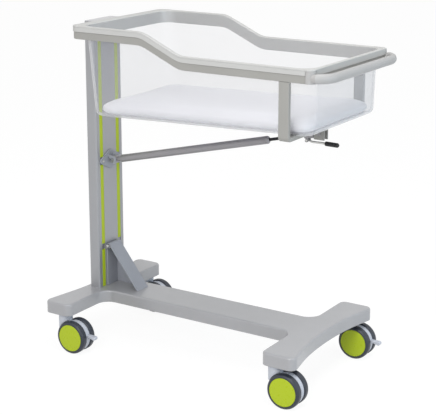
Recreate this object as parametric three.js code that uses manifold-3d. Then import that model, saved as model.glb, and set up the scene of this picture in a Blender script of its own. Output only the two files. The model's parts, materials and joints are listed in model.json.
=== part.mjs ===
// Hospital bassinet: a clear tub in a tilting cradle, carried by one column on a wheeled base.
// Millimetres, +Z up. The origin is on the floor under the middle of the overall length, +X points
// to the push handle, and left (-Y) and right (+Y) are those of a person who pushes at the handle.
import * as THREE from "three";
import { mergeVertices } from "three/addons/utils/BufferGeometryUtils.js";
import Module from "manifold-3d";

const wasm = await Module();
wasm.setup();

// Fits
const SEAT_GAP = 0.3; // between pieces that rest on or press into each other
const RUNNING_GAP = 0.5; // round pins and shafts that turn

// Overall
const OVERALL_LENGTH = 942; // back of the base to the tip of the push handle

// Casters
const WHEEL_DIAMETER = 100;
const WHEEL_WIDTH = 22;
const TYRE_SHOULDER = 5; // chamfer beside the hood
const TYRE_ROUND = 8; // outer edge of the tread
const HUB_DISC_DIAMETER = 82;
const HUB_DISC_THICKNESS = 4;
const HUB_DISC_CROWN = 0.8;
const HUB_DISC_CHAMFER = 2;
const AXLE_CAP_GAP = 2; // axle end to the hub disc
const HOOD_WIDTH = 17; // between the two wheels of a caster
const HOOD_DIAMETER = 94;
const CASTER_TRAIL = 38; // swivel axis to axle
const CASTER_NECK_DIAMETER = 42;
const CASTER_NECK_DEPTH = 45;
const KING_PIN_DIAMETER = 12;
const KING_PIN_LENGTH = 28;
const AXLE_DIAMETER = 10;
const SIDE_SWIVEL_INSET = 30; // side of the base to the swivel axes
const BACK_SWIVEL_INSET = 57; // back of the base to the back swivel axes
const FRONT_SWIVEL_INSET = 71; // front of the base to the front swivel axes
const BRAKE_TAB_REACH = 29; // past the hood
const BRAKE_TAB_WIDTH = 15;
const BRAKE_TAB_THICKNESS = 11;
const BRAKE_TAB_RISE = 5; // its middle above the axle

// Base
const BASE_LENGTH = 862;
const BASE_WIDTH = 482;
const BASE_UNDERSIDE = 116;
const BASE_THICKNESS = 37;
const BASE_EDGE_RADIUS = 6;
const COVER_WALL = 3.5;
const BEAM_WIDTH = 126;
const BACK_FOOT_LENGTH = 93;
const FRONT_FOOT_LENGTH = 103;
const FOOT_CORNER_RADIUS = 20;
const FOOT_FILLET_RADIUS = 38; // where a foot meets the beam
const BACK_HOLLOW = 34; // how far the foot's outer edges run inwards to the middle
const FRONT_HOLLOW = 46;
const HOLLOW_RADIUS = 800;
const CHASSIS_WALL = 4;
const CHASSIS_BEAM_WIDTH = 100;
const CHASSIS_ARM_WIDTH = 42;
const CHASSIS_END_MARGIN = 14; // arm end to the cover's inside
const SOCKET_DIAMETER = 26;

// Column
const COLUMN_SETBACK = 38.5; // back of the base to the back of the column
const COLUMN_DEPTH = 36.5;
const COLUMN_WIDTH = 131;
const COLUMN_RISE = 15; // hinge to the column's top
const COLUMN_EDGE_RADIUS = 6;
const COLUMN_WALL = 4;
const COLUMN_CAP_THICKNESS = 4;
const SLOT_WIDTH = 16;
const SLOT_DEPTH = 3;
const SLOT_SPACING = 81; // middle to middle
const STRIP_BREAK = 3; // strip end to the brace pin's head
const STRIP_SCREW_BREAK = 12; // strip end to the screws of the spring bracket

// Brace between column and base
const BRACE_REACH = 118; // along the beam
const BRACE_HEIGHT = 129; // base to the pin
const BRACE_WIDTH = 54;
const BRACE_SHEET = 4;
const BRACE_ROLL_DIAMETER = 17;
const BRACE_PIN_DIAMETER = 8;
const BRACE_PIN_HEAD_DIAMETER = 12;
const BRACE_PIN_HEAD_HEIGHT = 5;
const BRACE_PIN_END = 4; // past the brace on its plain side
const BRACE_PIN_OVERHANG = 9; // brace to the pin's head

// Tilt hinge
const HINGE_DROP = 11.5; // top of the cradle's bars, where they are high, to the hinge
const HINGE_OFFSET = 13.5; // column face to the pin
const HINGE_PIN_DIAMETER = 9;
const KNUCKLE_DIAMETER = 17;
const KNUCKLE_LENGTH = 67;
const HINGE_EAR_THICKNESS = 8;
const HINGE_PLATE_THICKNESS = 3;
const HINGE_PLATE_HEIGHT = 30;
const HINGE_PLATE_MARGIN = 6; // past the ears
const HINGE_PLATE_RADIUS = 4;
const EAR_SPREAD = 2; // wider at the plate, on each edge
const HINGE_PIN_HEAD_DIAMETER = 14;
const KNUCKLE_ARM_HEIGHT = 14;
const PIN_HEAD_HEIGHT = 3;

// Rim and cradle frame, with the low side rails towards the handle
const CRADLE_GAP = 36.5; // column face to the rim
const RIM_WIDTH = 448;
const RIM_CREASE = 919.5; // top of the flat bar on the low side
const RIM_STEP = 56.5;
const RIM_HIGH_LENGTH = 247;
const RIM_SLOPE_LENGTH = 126;
const RIM_KNEE = 18; // half the length of each rounded bend
const RIM_CORNER_RADIUS = 26;
const RIM_NOSE_RADIUS = 21; // corners at the handle end
const MOULDING_HEIGHT = 17.5;
const MOULDING_ROUND = 4.5;
const BAR_HEIGHT = 21;
const BAR_THICKNESS = 10;
const BAR_SETBACK = 2; // bar face behind the moulding's
const POST_SIZE = 22;
const POST_RADIUS = 19;
const POST_EDGE_RADIUS = 2;
const POST_TOP_DROP = 6; // under the top of the moulding, which runs over the posts

// Push handle
const HANDLE_REACH = 46; // rim to the handle's tip
const HANDLE_DEPTH = 21;
const HANDLE_HEIGHT = 26;
const HANDLE_DROP = 24; // rim top to the handle's middle
const HANDLE_BEND_RADIUS = 57;
const HANDLE_END_INSET = 12; // rim side to the middle of the handle's end
const HANDLE_COLLAR = 5; // boss of a post that the handle sits on
const HANDLE_COLLAR_STEP = 1.5; // handle's surface to the boss

// Tub and mattress
const TUB_WALL = 4;
const TUB_SIDE_MARGIN = 14; // rim's outer edge to the tub
const TUB_BACK_MARGIN = 31;
const TUB_FRONT_MARGIN = 15;
const TUB_CORNER_RADIUS = 40;
const TUB_SIDE_TAPER = 11;
const TUB_BACK_TAPER = 20;
const TUB_FRONT_TAPER = 2;
const TUB_FLOOR_RADIUS = 18;
const TUB_FLOOR_SLOPE = 1.75; // degrees, lower at the column
const TUB_TOP_DROP = 3; // under the top of the moulding
const TUB_LIP_WIDTH = 5.5;
const TUB_LIP_THICKNESS = 3;
const MATTRESS_THICKNESS = 36;
const MATTRESS_CLEARANCE = 2;
const MATTRESS_DRAW_IN = 4; // sides between the corners
const MATTRESS_EDGE = 16;
const MATTRESS_CORNER_RADIUS = 42;
const MATTRESS_CROWN_RADIUS = 6; // corners of the flat on top

// Hoop under the tub
const HOOP_INSET = 85.5; // front of the rim to the middle of the hoop
const HOOP_WIDTH = 31;
const HOOP_THICKNESS = 12;
const HOOP_DROP = 181; // top of the cradle's bars, where they are low, to the hoop's underside
const HOOP_BEND_RADIUS = 14;
const HOOP_INNER_RADIUS = 2;

// Gas spring, from the column to the hoop
const SPRING_PIVOT_HEIGHT = 554;
const SPRING_PIVOT_OFFSET = 20; // column face to the pin
const SPRING_PIN_DIAMETER = 8;
const SPRING_PIN_HEAD_DIAMETER = 13;
const SPRING_EYE_DIAMETER = 24;
const SPRING_EYE_WIDTH = 18;
const SPRING_EAR_THICKNESS = 4;
const SPRING_FLANGE_HEIGHT = 64;
const SPRING_FLANGE_WIDTH = 124;
const SPRING_FLANGE_THICKNESS = 4;
const SPRING_FLANGE_TIP_RADIUS = 9;
const SPRING_FLANGE_MIDDLE_RADIUS = 18;
const SPRING_EAR_SPREAD = 3;
const SCREW_HEAD_DIAMETER = 10;
const SCREW_HEAD_HEIGHT = 4;
const SCREW_DIAMETER = 6;
const CYLINDER_DIAMETER = 23;
const CYLINDER_WALL = 2.5;
const CYLINDER_START = 26; // pivot to the cylinder
const CYLINDER_END = 553;
const CYLINDER_CHAMFER = 3;
const CYLINDER_NECK_DIAMETER = 14;
const GLAND_LENGTH = 9;
const GLAND_SPIGOT = 14;
const GLAND_CHAMFER = 6;
const ROD_DIAMETER = 9;
const PISTON_START = 330;
const PISTON_LENGTH = 15;
const ROD_PIVOT_DROP = 17; // hoop's underside to the pin
const ROD_PIVOT_OFFSET = 6.5; // middle of the hoop to the pin, towards the column
const HEAD_DIAMETER = 22;
const HEAD_START = 52; // before the pin
const HEAD_END = 21;
const HEAD_CHAMFER = 2.2;
const TONGUE_WIDTH = 10;
const TONGUE_HEIGHT = 11;
const ROD_PIN_DIAMETER = 6;
const ROD_PIN_HEAD_DIAMETER = 11;
const ROD_PIN_HEAD_HEIGHT = 3.2;
const CLEVIS_LENGTH = 32;
const CLEVIS_HEIGHT = 34;
const CLEVIS_SHEET = 4;
const CLEVIS_SIDE_GAP = 3; // beside the tongue
const CLEVIS_SLOT_RISE = 7.7; // room for the pin to rise when the cradle tilts

// Release lever
const LEVER_PIVOT_BACK = 45; // before the rod pin
const LEVER_PIVOT_DROP = 14; // under the rod's axis
const LEVER_PIVOT_DIAMETER = 6;
const LEVER_PIVOT_OVERHANG = 1; // past the lugs
const LEVER_LUG_GAP = 9;
const LEVER_LUG_THICKNESS = 4;
const LEVER_LUG_WIDTH = 11;
const LEVER_WIRE_DIAMETER = 6.5;
const LEVER_DROP = 4; // pivot to the straight run
const LEVER_KNEE = 14; // pivot to the end of the bend
const LEVER_RUN = 55; // pivot to the grip
const LEVER_DROOP = 1; // degrees, of the grip
const GRIP_LENGTH = 42;
const GRIP_DIAMETER = 13;
const GRIP_BORE_DEPTH = 14;
const GRIP_ROUND = 4;

// Facets
const CORNER_STEPS = 5;
const WHEEL_SIDES = 20;
const ROUND_SIDES = 16;
const PIN_SIDES = 10;
const ARC_DIVISIONS = 3;
const HANDLE_SIDES = 12;
const LEVER_STEPS = 14;
const LEVER_SIDES = 8;
const NEARLY_ROUND = 0.9; // share of the half width that rounds a free end

// Derived places
const baseBack = -OVERALL_LENGTH / 2;
const baseFront = baseBack + BASE_LENGTH;
const baseTop = BASE_UNDERSIDE + BASE_THICKNESS;
const columnBack = baseBack + COLUMN_SETBACK;
const columnFace = columnBack + COLUMN_DEPTH;
const chassisTop = baseTop - COVER_WALL - SEAT_GAP;
const axleHeight = WHEEL_DIAMETER / 2;
const rimBack = columnFace + CRADLE_GAP;
const rimFront = OVERALL_LENGTH / 2 - HANDLE_REACH;
const rimHalf = RIM_WIDTH / 2;
const postInner = rimFront - POST_SIZE;
const slopeStart = rimBack + RIM_HIGH_LENGTH;
const slopeEnd = slopeStart + RIM_SLOPE_LENGTH;
const lipBottom = RIM_CREASE + SEAT_GAP;
const mouldingBottom = lipBottom + TUB_LIP_THICKNESS + SEAT_GAP;
const mouldingTop = RIM_CREASE + MOULDING_HEIGHT;
const tubBack = rimBack + TUB_BACK_MARGIN;
const tubFront = rimFront - TUB_FRONT_MARGIN;
const tubHalf = rimHalf - TUB_SIDE_MARGIN;
const hoopMiddle = rimFront - HOOP_INSET;
const hoopOuter = rimHalf - BAR_SETBACK;
const hoopBottom = RIM_CREASE - HOOP_DROP;
const hoopFloor = hoopBottom + HOOP_THICKNESS;
const floorSlope = Math.tan(THREE.MathUtils.degToRad(TUB_FLOOR_SLOPE));
const hinge = new THREE.Vector2(columnFace + HINGE_OFFSET, RIM_CREASE + RIM_STEP - HINGE_DROP);
const columnTop = hinge.y + COLUMN_RISE;
const springPivot = new THREE.Vector2(columnFace + SPRING_PIVOT_OFFSET, SPRING_PIVOT_HEIGHT);
const rodPivot = new THREE.Vector2(hoopMiddle - ROD_PIVOT_OFFSET, hoopBottom - ROD_PIVOT_DROP);
const springLine = rodPivot.clone().sub(springPivot);
const springLength = springLine.length();
const springAngle = springLine.angle();

// Finishes
const paint = (color, roughness, metalness = 0) =>
  new THREE.MeshStandardMaterial({ color, roughness, metalness });
const finish = {
  cover: paint(0xb9b9bb, 0.5),
  steel: paint(0x8d8f92, 0.5, 0.8),
  aluminium: paint(0xa3a4a8, 0.4, 0.6),
  lime: paint(0xa9c03c, 0.5),
  greyPaint: paint(0x9a9ca2, 0.45, 0.3),
  frame: paint(0xa8a8a1, 0.5, 0.2),
  moulding: paint(0xc6c6c2, 0.5),
  handle: paint(0xbcbdc0, 0.45),
  clear: new THREE.MeshStandardMaterial({
    color: 0xf4f6f8, roughness: 0.08, transparent: true, opacity: 0.3,
  }),
  mattress: paint(0xe6e5ec, 0.8),
  cylinder: paint(0x77767a, 0.4, 0.6),
  rod: paint(0x2a2a2c, 0.35, 0.4),
  bright: paint(0xc8c8c6, 0.25, 1),
  black: paint(0x17171a, 0.6),
  tyre: paint(0x3b404a, 0.7),
  hood: paint(0xbfc3d0, 0.5),
};

// A closed three.js geometry as a solid, turned right side out where its rings ran the other way
function toSolid(geometry) {
  const bare = geometry.index ? geometry.toNonIndexed() : geometry.clone();
  bare.deleteAttribute("normal");
  bare.deleteAttribute("uv");
  const merged = mergeVertices(bare, 1e-4);
  const triVerts = new Uint32Array(merged.index.array);
  const vertProperties = merged.attributes.position.array;
  const solid = new wasm.Manifold(new wasm.Mesh({ numProp: 3, vertProperties, triVerts }));
  if (solid.volume() > 0) return solid;
  triVerts.reverse();
  return new wasm.Manifold(new wasm.Mesh({ numProp: 3, vertProperties, triVerts }));
}

function toGeometry(solid) {
  const mesh = solid.getMesh();
  const geometry = new THREE.BufferGeometry();
  geometry.setAttribute("position", new THREE.BufferAttribute(mesh.vertProperties, 3));
  geometry.setIndex(new THREE.BufferAttribute(mesh.triVerts, 1));
  geometry.computeVertexNormals();
  return geometry;
}

const join = (...shapes) => toGeometry(shapes.map(toSolid).reduce((a, b) => a.add(b)));
const cut = (body, ...tools) =>
  toGeometry(tools.map(toSolid).reduce((a, b) => a.subtract(b), toSolid(body)));

// A closed outline through corners [x, y, radius], with each corner rounded by its radius
function outline(corners) {
  const shape = new THREE.Shape();
  corners.forEach(([x, y, radius = 0], i) => {
    const corner = new THREE.Vector2(x, y);
    const [px, py] = corners.at(i - 1);
    const [nx, ny] = corners[(i + 1) % corners.length];
    const before = new THREE.Vector2(px, py).sub(corner).normalize();
    const after = new THREE.Vector2(nx, ny).sub(corner).normalize();
    const half = Math.acos(before.dot(after)) / 2;
    const start = corner.clone().addScaledVector(before, radius / Math.tan(half));
    if (i === 0) shape.moveTo(start.x, start.y);
    if (radius === 0) {
      if (i > 0) shape.lineTo(x, y);
      return;
    }
    const middle = before.clone().add(after).setLength(radius / Math.sin(half)).add(corner);
    const end = corner.clone().addScaledVector(after, radius / Math.tan(half));
    const from = start.sub(middle).angle();
    const to = end.sub(middle).angle();
    shape.absarc(middle.x, middle.y, radius, from, to, before.cross(after) > 0);
  });
  return shape;
}

const rectangle = (x0, x1, y0, y1, radius = 0) =>
  outline([[x0, y0, radius], [x1, y0, radius], [x1, y1, radius], [x0, y1, radius]]);

const extruded = (shape, depth) =>
  new THREE.ExtrudeGeometry(shape, { depth, bevelEnabled: false, curveSegments: ARC_DIVISIONS });

// Prisms of a shape drawn in XY, YZ or XZ, from a lower to a higher coordinate of the third axis
const upright = (shape, z0, z1) => extruded(shape, z1 - z0).translate(0, 0, z0);
const lengthwise = (shape, x0, x1) =>
  extruded(shape, x1 - x0)
    .applyMatrix4(new THREE.Matrix4().set(0, 0, 1, 0, 1, 0, 0, 0, 0, 1, 0, 0, 0, 0, 0, 1))
    .translate(x0, 0, 0);
const crosswise = (shape, y0, y1) =>
  extruded(shape, y1 - y0).rotateX(Math.PI / 2).translate(0, y1, 0);

// Turned pieces: a profile of [radius, place along the axis], about Y, X or Z
const turnedY = (profile, sides = ROUND_SIDES, phase = 0) =>
  new THREE.LatheGeometry(profile.map(([r, a]) => new THREE.Vector2(r, a)), sides, phase);
const turnedX = (profile, sides) => turnedY(profile, sides).rotateZ(-Math.PI / 2);
const turnedZ = (profile, sides) => turnedY(profile, sides).rotateX(Math.PI / 2);
const rod = (radius, a0, a1) => [[0, a0], [radius, a0], [radius, a1], [0, a1]];

// A closed skin through rings of points, with a flat fan over the first and the last ring
function skin(rings) {
  const count = rings[0].length;
  const middles = [rings[0], rings.at(-1)].map((points) =>
    points.reduce((sum, p) => sum.add(p), new THREE.Vector3()).divideScalar(count));
  const points = [...rings.flat(), ...middles];
  const first = count * rings.length;
  const last = count * (rings.length - 1);
  const faces = [];
  for (let i = 0; i < count; i++) {
    const next = (i + 1) % count;
    faces.push(first, next, i, first + 1, last + i, last + next);
    for (let low = 0; low < last; low += count) {
      const high = low + count;
      faces.push(low + i, low + next, high + next, low + i, high + next, high + i);
    }
  }
  const geometry = new THREE.BufferGeometry().setFromPoints(points);
  geometry.setIndex(faces);
  return toGeometry(toSolid(geometry));
}

// Height of the stepped rim above its low side, with parabolic bends at both knees
function rimRise(x) {
  const bend = (t) => (t < -RIM_KNEE ? 0 : t > RIM_KNEE ? t : (t + RIM_KNEE) ** 2 / (4 * RIM_KNEE));
  return RIM_STEP - (bend(x - slopeStart) - bend(x - slopeEnd)) * (RIM_STEP / RIM_SLOPE_LENGTH);
}
const kneePlaces = [-1, -1 / 3, 1 / 3, 1].map((share) => share * RIM_KNEE);
const rimStations = [slopeStart, slopeEnd].flatMap((knee) => kneePlaces.map((d) => knee + d));

// Points of a rounded corner in plan, a quarter turn from an angle
function planCorner(x, y, radius, from) {
  return Array.from({ length: CORNER_STEPS + 1 }, (_, i) => {
    const angle = from + (Math.PI / 2) * (i / CORNER_STEPS);
    return [x + radius * Math.cos(angle), y + radius * Math.sin(angle)];
  });
}

// The back end and both sides of a plan outline, from the right side's front to the left side's
const planSides = (x0, half, radius, stations) => [
  ...stations.map((x) => [x, half]).reverse(),
  ...planCorner(x0 + radius, half - radius, radius, Math.PI / 2),
  ...planCorner(x0 + radius, radius - half, radius, Math.PI),
  ...stations.map((x) => [x, -half]),
];

// A whole plan outline, with stations along the sides and across the ends
const planLoop = (x0, x1, half, radius, stations, across = []) => [
  ...planCorner(x1 - radius, radius - half, radius, -Math.PI / 2),
  ...across.map((y) => [x1, y]),
  ...planCorner(x1 - radius, half - radius, radius, 0),
  ...stations.map((x) => [x, half]).reverse(),
  ...planCorner(x0 + radius, half - radius, radius, Math.PI / 2),
  ...across.map((y) => [x0, y]).reverse(),
  ...planCorner(x0 + radius, radius - half, radius, Math.PI),
  ...stations.map((x) => [x, -half]),
];

// A rail along plan lines that climbs the rim's step. Its section lists [line, shift, height], the shift
// running from the line across the rail, towards its outer line.
function rail({ inner, outer, ...others }, section) {
  const lines = { inner, outer, ...others };
  return skin(inner.map(([ix, iy], i) => {
    const [ox, oy] = outer[i];
    const across = new THREE.Vector2(ox - ix, oy - iy).normalize();
    return section.map(([line, shift, z]) => {
      const [x, y] = [lines[line][i][0] + across.x * shift, lines[line][i][1] + across.y * shift];
      return new THREE.Vector3(x, y, z + rimRise(x));
    });
  }));
}

const bassinet = new THREE.Group();
function add(name, geometry, material, parent = bassinet) {
  const mesh = new THREE.Mesh(geometry, material);
  mesh.name = name;
  parent.add(mesh);
  return mesh;
}
function addGroup(x, y, z, parent = bassinet) {
  const group = new THREE.Group();
  group.position.set(x, y, z);
  parent.add(group);
  return group;
}

// How far a foot's slanted edge falls short of its corner point once the corner is rounded
function tipLoss(hollow, radius) {
  const slant = Math.atan2(hollow, BASE_WIDTH / 2);
  return radius * ((1 + Math.sin(slant)) / Math.cos(slant) - 1);
}

// Plan of the base, drawn inwards by an inset
function basePlan(inset) {
  const back = baseBack + inset;
  const front = baseFront - inset;
  const half = BASE_WIDTH / 2 - inset;
  const beam = BEAM_WIDTH / 2 - inset;
  const backInner = baseBack + BACK_FOOT_LENGTH - inset;
  const frontInner = baseFront - FRONT_FOOT_LENGTH + inset;
  const tip = FOOT_CORNER_RADIUS - inset;
  const fillet = FOOT_FILLET_RADIUS + inset;
  const frontTip = front + tipLoss(FRONT_HOLLOW, tip);
  const backTip = back - tipLoss(BACK_HOLLOW, tip);
  return outline([
    [frontTip, -half, tip], [front - FRONT_HOLLOW, 0, HOLLOW_RADIUS], [frontTip, half, tip],
    [frontInner, half, tip], [frontInner, beam, fillet],
    [backInner, beam, fillet], [backInner, half, tip],
    [backTip, half, tip], [back + BACK_HOLLOW, 0, HOLLOW_RADIUS], [backTip, -half, tip],
    [backInner, -half, tip], [backInner, -beam, fillet],
    [frontInner, -beam, fillet], [frontInner, -half, tip],
  ]);
}

function columnPlan(grow) {
  const half = COLUMN_WIDTH / 2 + grow;
  return rectangle(columnBack - grow, columnFace + grow, -half, half, COLUMN_EDGE_RADIUS + grow);
}

// Cover: a shell with rounded top edges, open underneath, with a hole for the column
function baseCover() {
  const skirt = BASE_EDGE_RADIUS;
  const body = new THREE.ExtrudeGeometry(basePlan(0), {
    depth: BASE_THICKNESS, bevelEnabled: true, bevelThickness: BASE_EDGE_RADIUS,
    bevelSize: BASE_EDGE_RADIUS, bevelOffset: -BASE_EDGE_RADIUS, bevelSegments: 2,
    curveSegments: ARC_DIVISIONS,
  }).translate(0, 0, BASE_UNDERSIDE - skirt);
  const span = rectangle(baseBack, baseFront, -BASE_WIDTH / 2, BASE_WIDTH / 2);
  return cut(
    body,
    upright(span, BASE_UNDERSIDE - 2 * skirt, BASE_UNDERSIDE),
    upright(basePlan(COVER_WALL), BASE_UNDERSIDE - skirt, baseTop - COVER_WALL),
    upright(columnPlan(SEAT_GAP), BASE_UNDERSIDE, baseTop + skirt),
  );
}

const swivelRows = [baseBack + BACK_SWIVEL_INSET, baseFront - FRONT_SWIVEL_INSET];
const swivelPlaces = ["back", "front"].flatMap((end, i) =>
  ["left", "right"].map((side, j) => ({
    name: `caster_${end}_${side}`,
    x: swivelRows[i],
    y: (2 * j - 1) * (BASE_WIDTH / 2 - SIDE_SWIVEL_INSET),
    braked: i === j,
  })));

// Chassis: a pressed pan of a beam and two arms, open underneath, with a socket for each caster
function baseChassis() {
  const pan = (inset, z1) => {
    const arm = CHASSIS_ARM_WIDTH / 2 - inset;
    const half = BASE_WIDTH / 2 - COVER_WALL - CHASSIS_END_MARGIN - inset;
    const beam = CHASSIS_BEAM_WIDTH / 2 - inset;
    const back = columnBack + inset;
    const bars = swivelRows.map((x) =>
      upright(rectangle(x - arm, x + arm, -half, half), BASE_UNDERSIDE, z1));
    return join(upright(rectangle(back, swivelRows[1], -beam, beam), BASE_UNDERSIDE, z1), ...bars);
  };
  const socket = ({ x, y }) =>
    turnedZ(rod(SOCKET_DIAMETER / 2, BASE_UNDERSIDE, chassisTop)).translate(x, y, 0);
  const bore = ({ x, y }) =>
    turnedZ(rod(KING_PIN_DIAMETER / 2 + RUNNING_GAP, 0, BASE_UNDERSIDE + KING_PIN_LENGTH + RUNNING_GAP))
      .translate(x, y, 0);
  const hollow = pan(CHASSIS_WALL, chassisTop - CHASSIS_WALL);
  const shell = cut(pan(0, chassisTop), hollow);
  return cut(join(shell, ...swivelPlaces.map(socket)), ...swivelPlaces.map(bore));
}

// Column: an extrusion with three chambers and a slot on each side of the front face
function columnExtrusion() {
  const half = COLUMN_WIDTH / 2;
  const slotEdges = [-1, 1].map((side) => (side * SLOT_SPACING) / 2);
  const foot = chassisTop + SEAT_GAP;
  const slots = slotEdges.map((y) =>
    upright(
      rectangle(columnFace - SLOT_DEPTH, columnFace + SLOT_DEPTH, y - SLOT_WIDTH / 2, y + SLOT_WIDTH / 2),
      foot - SLOT_DEPTH, columnTop + SLOT_DEPTH,
    ));
  const web = slotEdges[1];
  const chambers = [[-half + COLUMN_WALL, -web - COLUMN_WALL / 2],
    [-web + COLUMN_WALL / 2, web - COLUMN_WALL / 2],
    [web + COLUMN_WALL / 2, half - COLUMN_WALL]];
  const bores = chambers.map(([y0, y1]) =>
    upright(
      rectangle(columnBack + COLUMN_WALL, columnFace - COLUMN_WALL - SLOT_DEPTH, y0, y1),
      foot - COLUMN_WALL, columnTop + COLUMN_WALL,
    ));
  return cut(upright(columnPlan(0), foot, columnTop), ...slots, ...bores);
}

add("base_cover", baseCover(), finish.cover);
add("base_chassis", baseChassis(), finish.steel);
add("column", columnExtrusion(), finish.aluminium);
add(
  "column_cap",
  upright(columnPlan(0), columnTop + SEAT_GAP, columnTop + COLUMN_CAP_THICKNESS),
  finish.cover,
);

// Slot strips, broken at the brace pin, at the spring bracket and under the hinge plate
const bracePin = new THREE.Vector2(
  columnFace + SEAT_GAP + BRACE_ROLL_DIAMETER / 2, baseTop + BRACE_HEIGHT);
const pinBreak = BRACE_PIN_HEAD_DIAMETER / 2 + STRIP_BREAK;
const hingePlateBottom = hinge.y - HINGE_PLATE_HEIGHT / 2;
const stripRuns = {
  lower: [baseTop, bracePin.y - pinBreak],
  middle: [bracePin.y + pinBreak, SPRING_PIVOT_HEIGHT - STRIP_SCREW_BREAK],
  upper: [SPRING_PIVOT_HEIGHT + STRIP_SCREW_BREAK, hingePlateBottom],
};
for (const [side, sign] of [["left", -1], ["right", 1]]) {
  for (const [run, [z0, z1]] of Object.entries(stripRuns)) {
    const y = (sign * SLOT_SPACING) / 2;
    const half = SLOT_WIDTH / 2 - SEAT_GAP;
    const plan = rectangle(columnFace - SLOT_DEPTH + SEAT_GAP, columnFace, y - half, y + half);
    add(`slot_strip_${side}_${run}`, upright(plan, z0 + SEAT_GAP, z1 - SEAT_GAP), finish.lime);
  }
}

// Brace: a folded sheet with a leg on the column, a slope to the base and a web on the right
function braceSheet() {
  const foot = baseTop + SEAT_GAP;
  const leg = columnFace + SEAT_GAP;
  const toe = columnFace + BRACE_REACH;
  const top = bracePin.y;
  const roll = BRACE_ROLL_DIAMETER / 2;
  const legFace = leg + BRACE_SHEET;
  const slope = new THREE.Vector2(toe - bracePin.x - roll, foot - top).normalize();
  const sheetRun = BRACE_SHEET / -slope.y;
  const half = BRACE_WIDTH / 2;
  const fold = crosswise(
    outline([[leg, foot], [legFace, foot], [legFace, top], [bracePin.x + roll - sheetRun, top],
      [toe - sheetRun, foot], [toe, foot], [bracePin.x + roll, top], [leg, top + roll / 2]]),
    -half, half,
  );
  const web = crosswise(
    outline([[leg, foot], [toe - sheetRun / 2, foot], [bracePin.x + roll - sheetRun / 2, top], [leg, top]]),
    half - BRACE_SHEET, half,
  );
  const barrel = turnedY(rod(roll, -half, half), PIN_SIDES).translate(bracePin.x, 0, top);
  const bore = turnedY(rod(BRACE_PIN_DIAMETER / 2 + SEAT_GAP, -BRACE_WIDTH, BRACE_WIDTH), PIN_SIDES);
  return cut(join(fold, web, barrel), bore.translate(bracePin.x, 0, top));
}
const bracePinHead = -BRACE_WIDTH / 2 - BRACE_PIN_OVERHANG;
const bracePinEnd = BRACE_WIDTH / 2 + BRACE_PIN_END;
add("brace", braceSheet(), finish.greyPaint);
add(
  "brace_pin",
  turnedY([[0, bracePinHead - BRACE_PIN_HEAD_HEIGHT],
    [BRACE_PIN_HEAD_DIAMETER / 2, bracePinHead - BRACE_PIN_HEAD_HEIGHT],
    [BRACE_PIN_HEAD_DIAMETER / 2, bracePinHead], [BRACE_PIN_DIAMETER / 2, bracePinHead],
    [BRACE_PIN_DIAMETER / 2, bracePinEnd], [0, bracePinEnd]], PIN_SIDES)
    .translate(bracePin.x, 0, bracePin.y),
  finish.steel,
);

// An ear that stands out from a plate to a pivot and ends round it
function earOutline(plate, pivot, radius, spread) {
  const tip = radius * NEARLY_ROUND;
  return outline([[plate, pivot.y - radius - spread], [pivot.x + radius, pivot.y - radius, tip],
    [pivot.x + radius, pivot.y + radius, tip], [plate, pivot.y + radius + spread]]);
}

// Tilt hinge: a bracket with two ears on the column, the pin, and the knuckle on the cradle
const earInner = KNUCKLE_LENGTH / 2 + RUNNING_GAP;
const earOuter = earInner + HINGE_EAR_THICKNESS;
function hingeBracket() {
  const back = columnFace + SEAT_GAP;
  const face = back + HINGE_PLATE_THICKNESS;
  const z0 = hingePlateBottom;
  const plateHalf = earOuter + HINGE_PLATE_MARGIN;
  const plate = lengthwise(
    rectangle(-plateHalf, plateHalf, z0, z0 + HINGE_PLATE_HEIGHT, HINGE_PLATE_RADIUS), back, face);
  const ear = KNUCKLE_DIAMETER / 2;
  const ears = [-earOuter, earInner].map((y) =>
    crosswise(earOutline(back, hinge, ear, EAR_SPREAD), y, y + HINGE_EAR_THICKNESS));
  const bore = turnedY(rod(HINGE_PIN_DIAMETER / 2 + SEAT_GAP, -RIM_WIDTH / 2, RIM_WIDTH / 2), PIN_SIDES);
  return cut(join(plate, ...ears), bore.translate(hinge.x, 0, hinge.y));
}
function hingeKnuckle() {
  const half = KNUCKLE_LENGTH / 2;
  const barFace = rimBack + BAR_SETBACK;
  const web = KNUCKLE_ARM_HEIGHT / 2;
  const sleeve = turnedY(rod(KNUCKLE_DIAMETER / 2, -half, half), PIN_SIDES).translate(hinge.x, 0, hinge.y);
  const arm = crosswise(
    rectangle(hinge.x, barFace - SEAT_GAP, hinge.y - web, hinge.y + web), -half, half);
  const bore = turnedY(rod(HINGE_PIN_DIAMETER / 2 + RUNNING_GAP, -2 * half, 2 * half), PIN_SIDES);
  return cut(join(sleeve, arm), bore.translate(hinge.x, 0, hinge.y));
}
function headedPin(diameter, headDiameter, reach, headHeight) {
  const radius = diameter / 2;
  const head = headDiameter / 2;
  const end = reach + headHeight;
  return [[0, -end], [head, -end], [head, -reach], [radius, -reach], [radius, reach], [head, reach],
    [head, end], [0, end]];
}
add("hinge_bracket", hingeBracket(), finish.greyPaint);
add(
  "hinge_pin",
  turnedY(
    headedPin(HINGE_PIN_DIAMETER, HINGE_PIN_HEAD_DIAMETER, earOuter + SEAT_GAP, PIN_HEAD_HEIGHT), PIN_SIDES,
  ).translate(hinge.x, 0, hinge.y),
  finish.bright,
);
add("hinge_knuckle", hingeKnuckle(), finish.frame);

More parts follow.
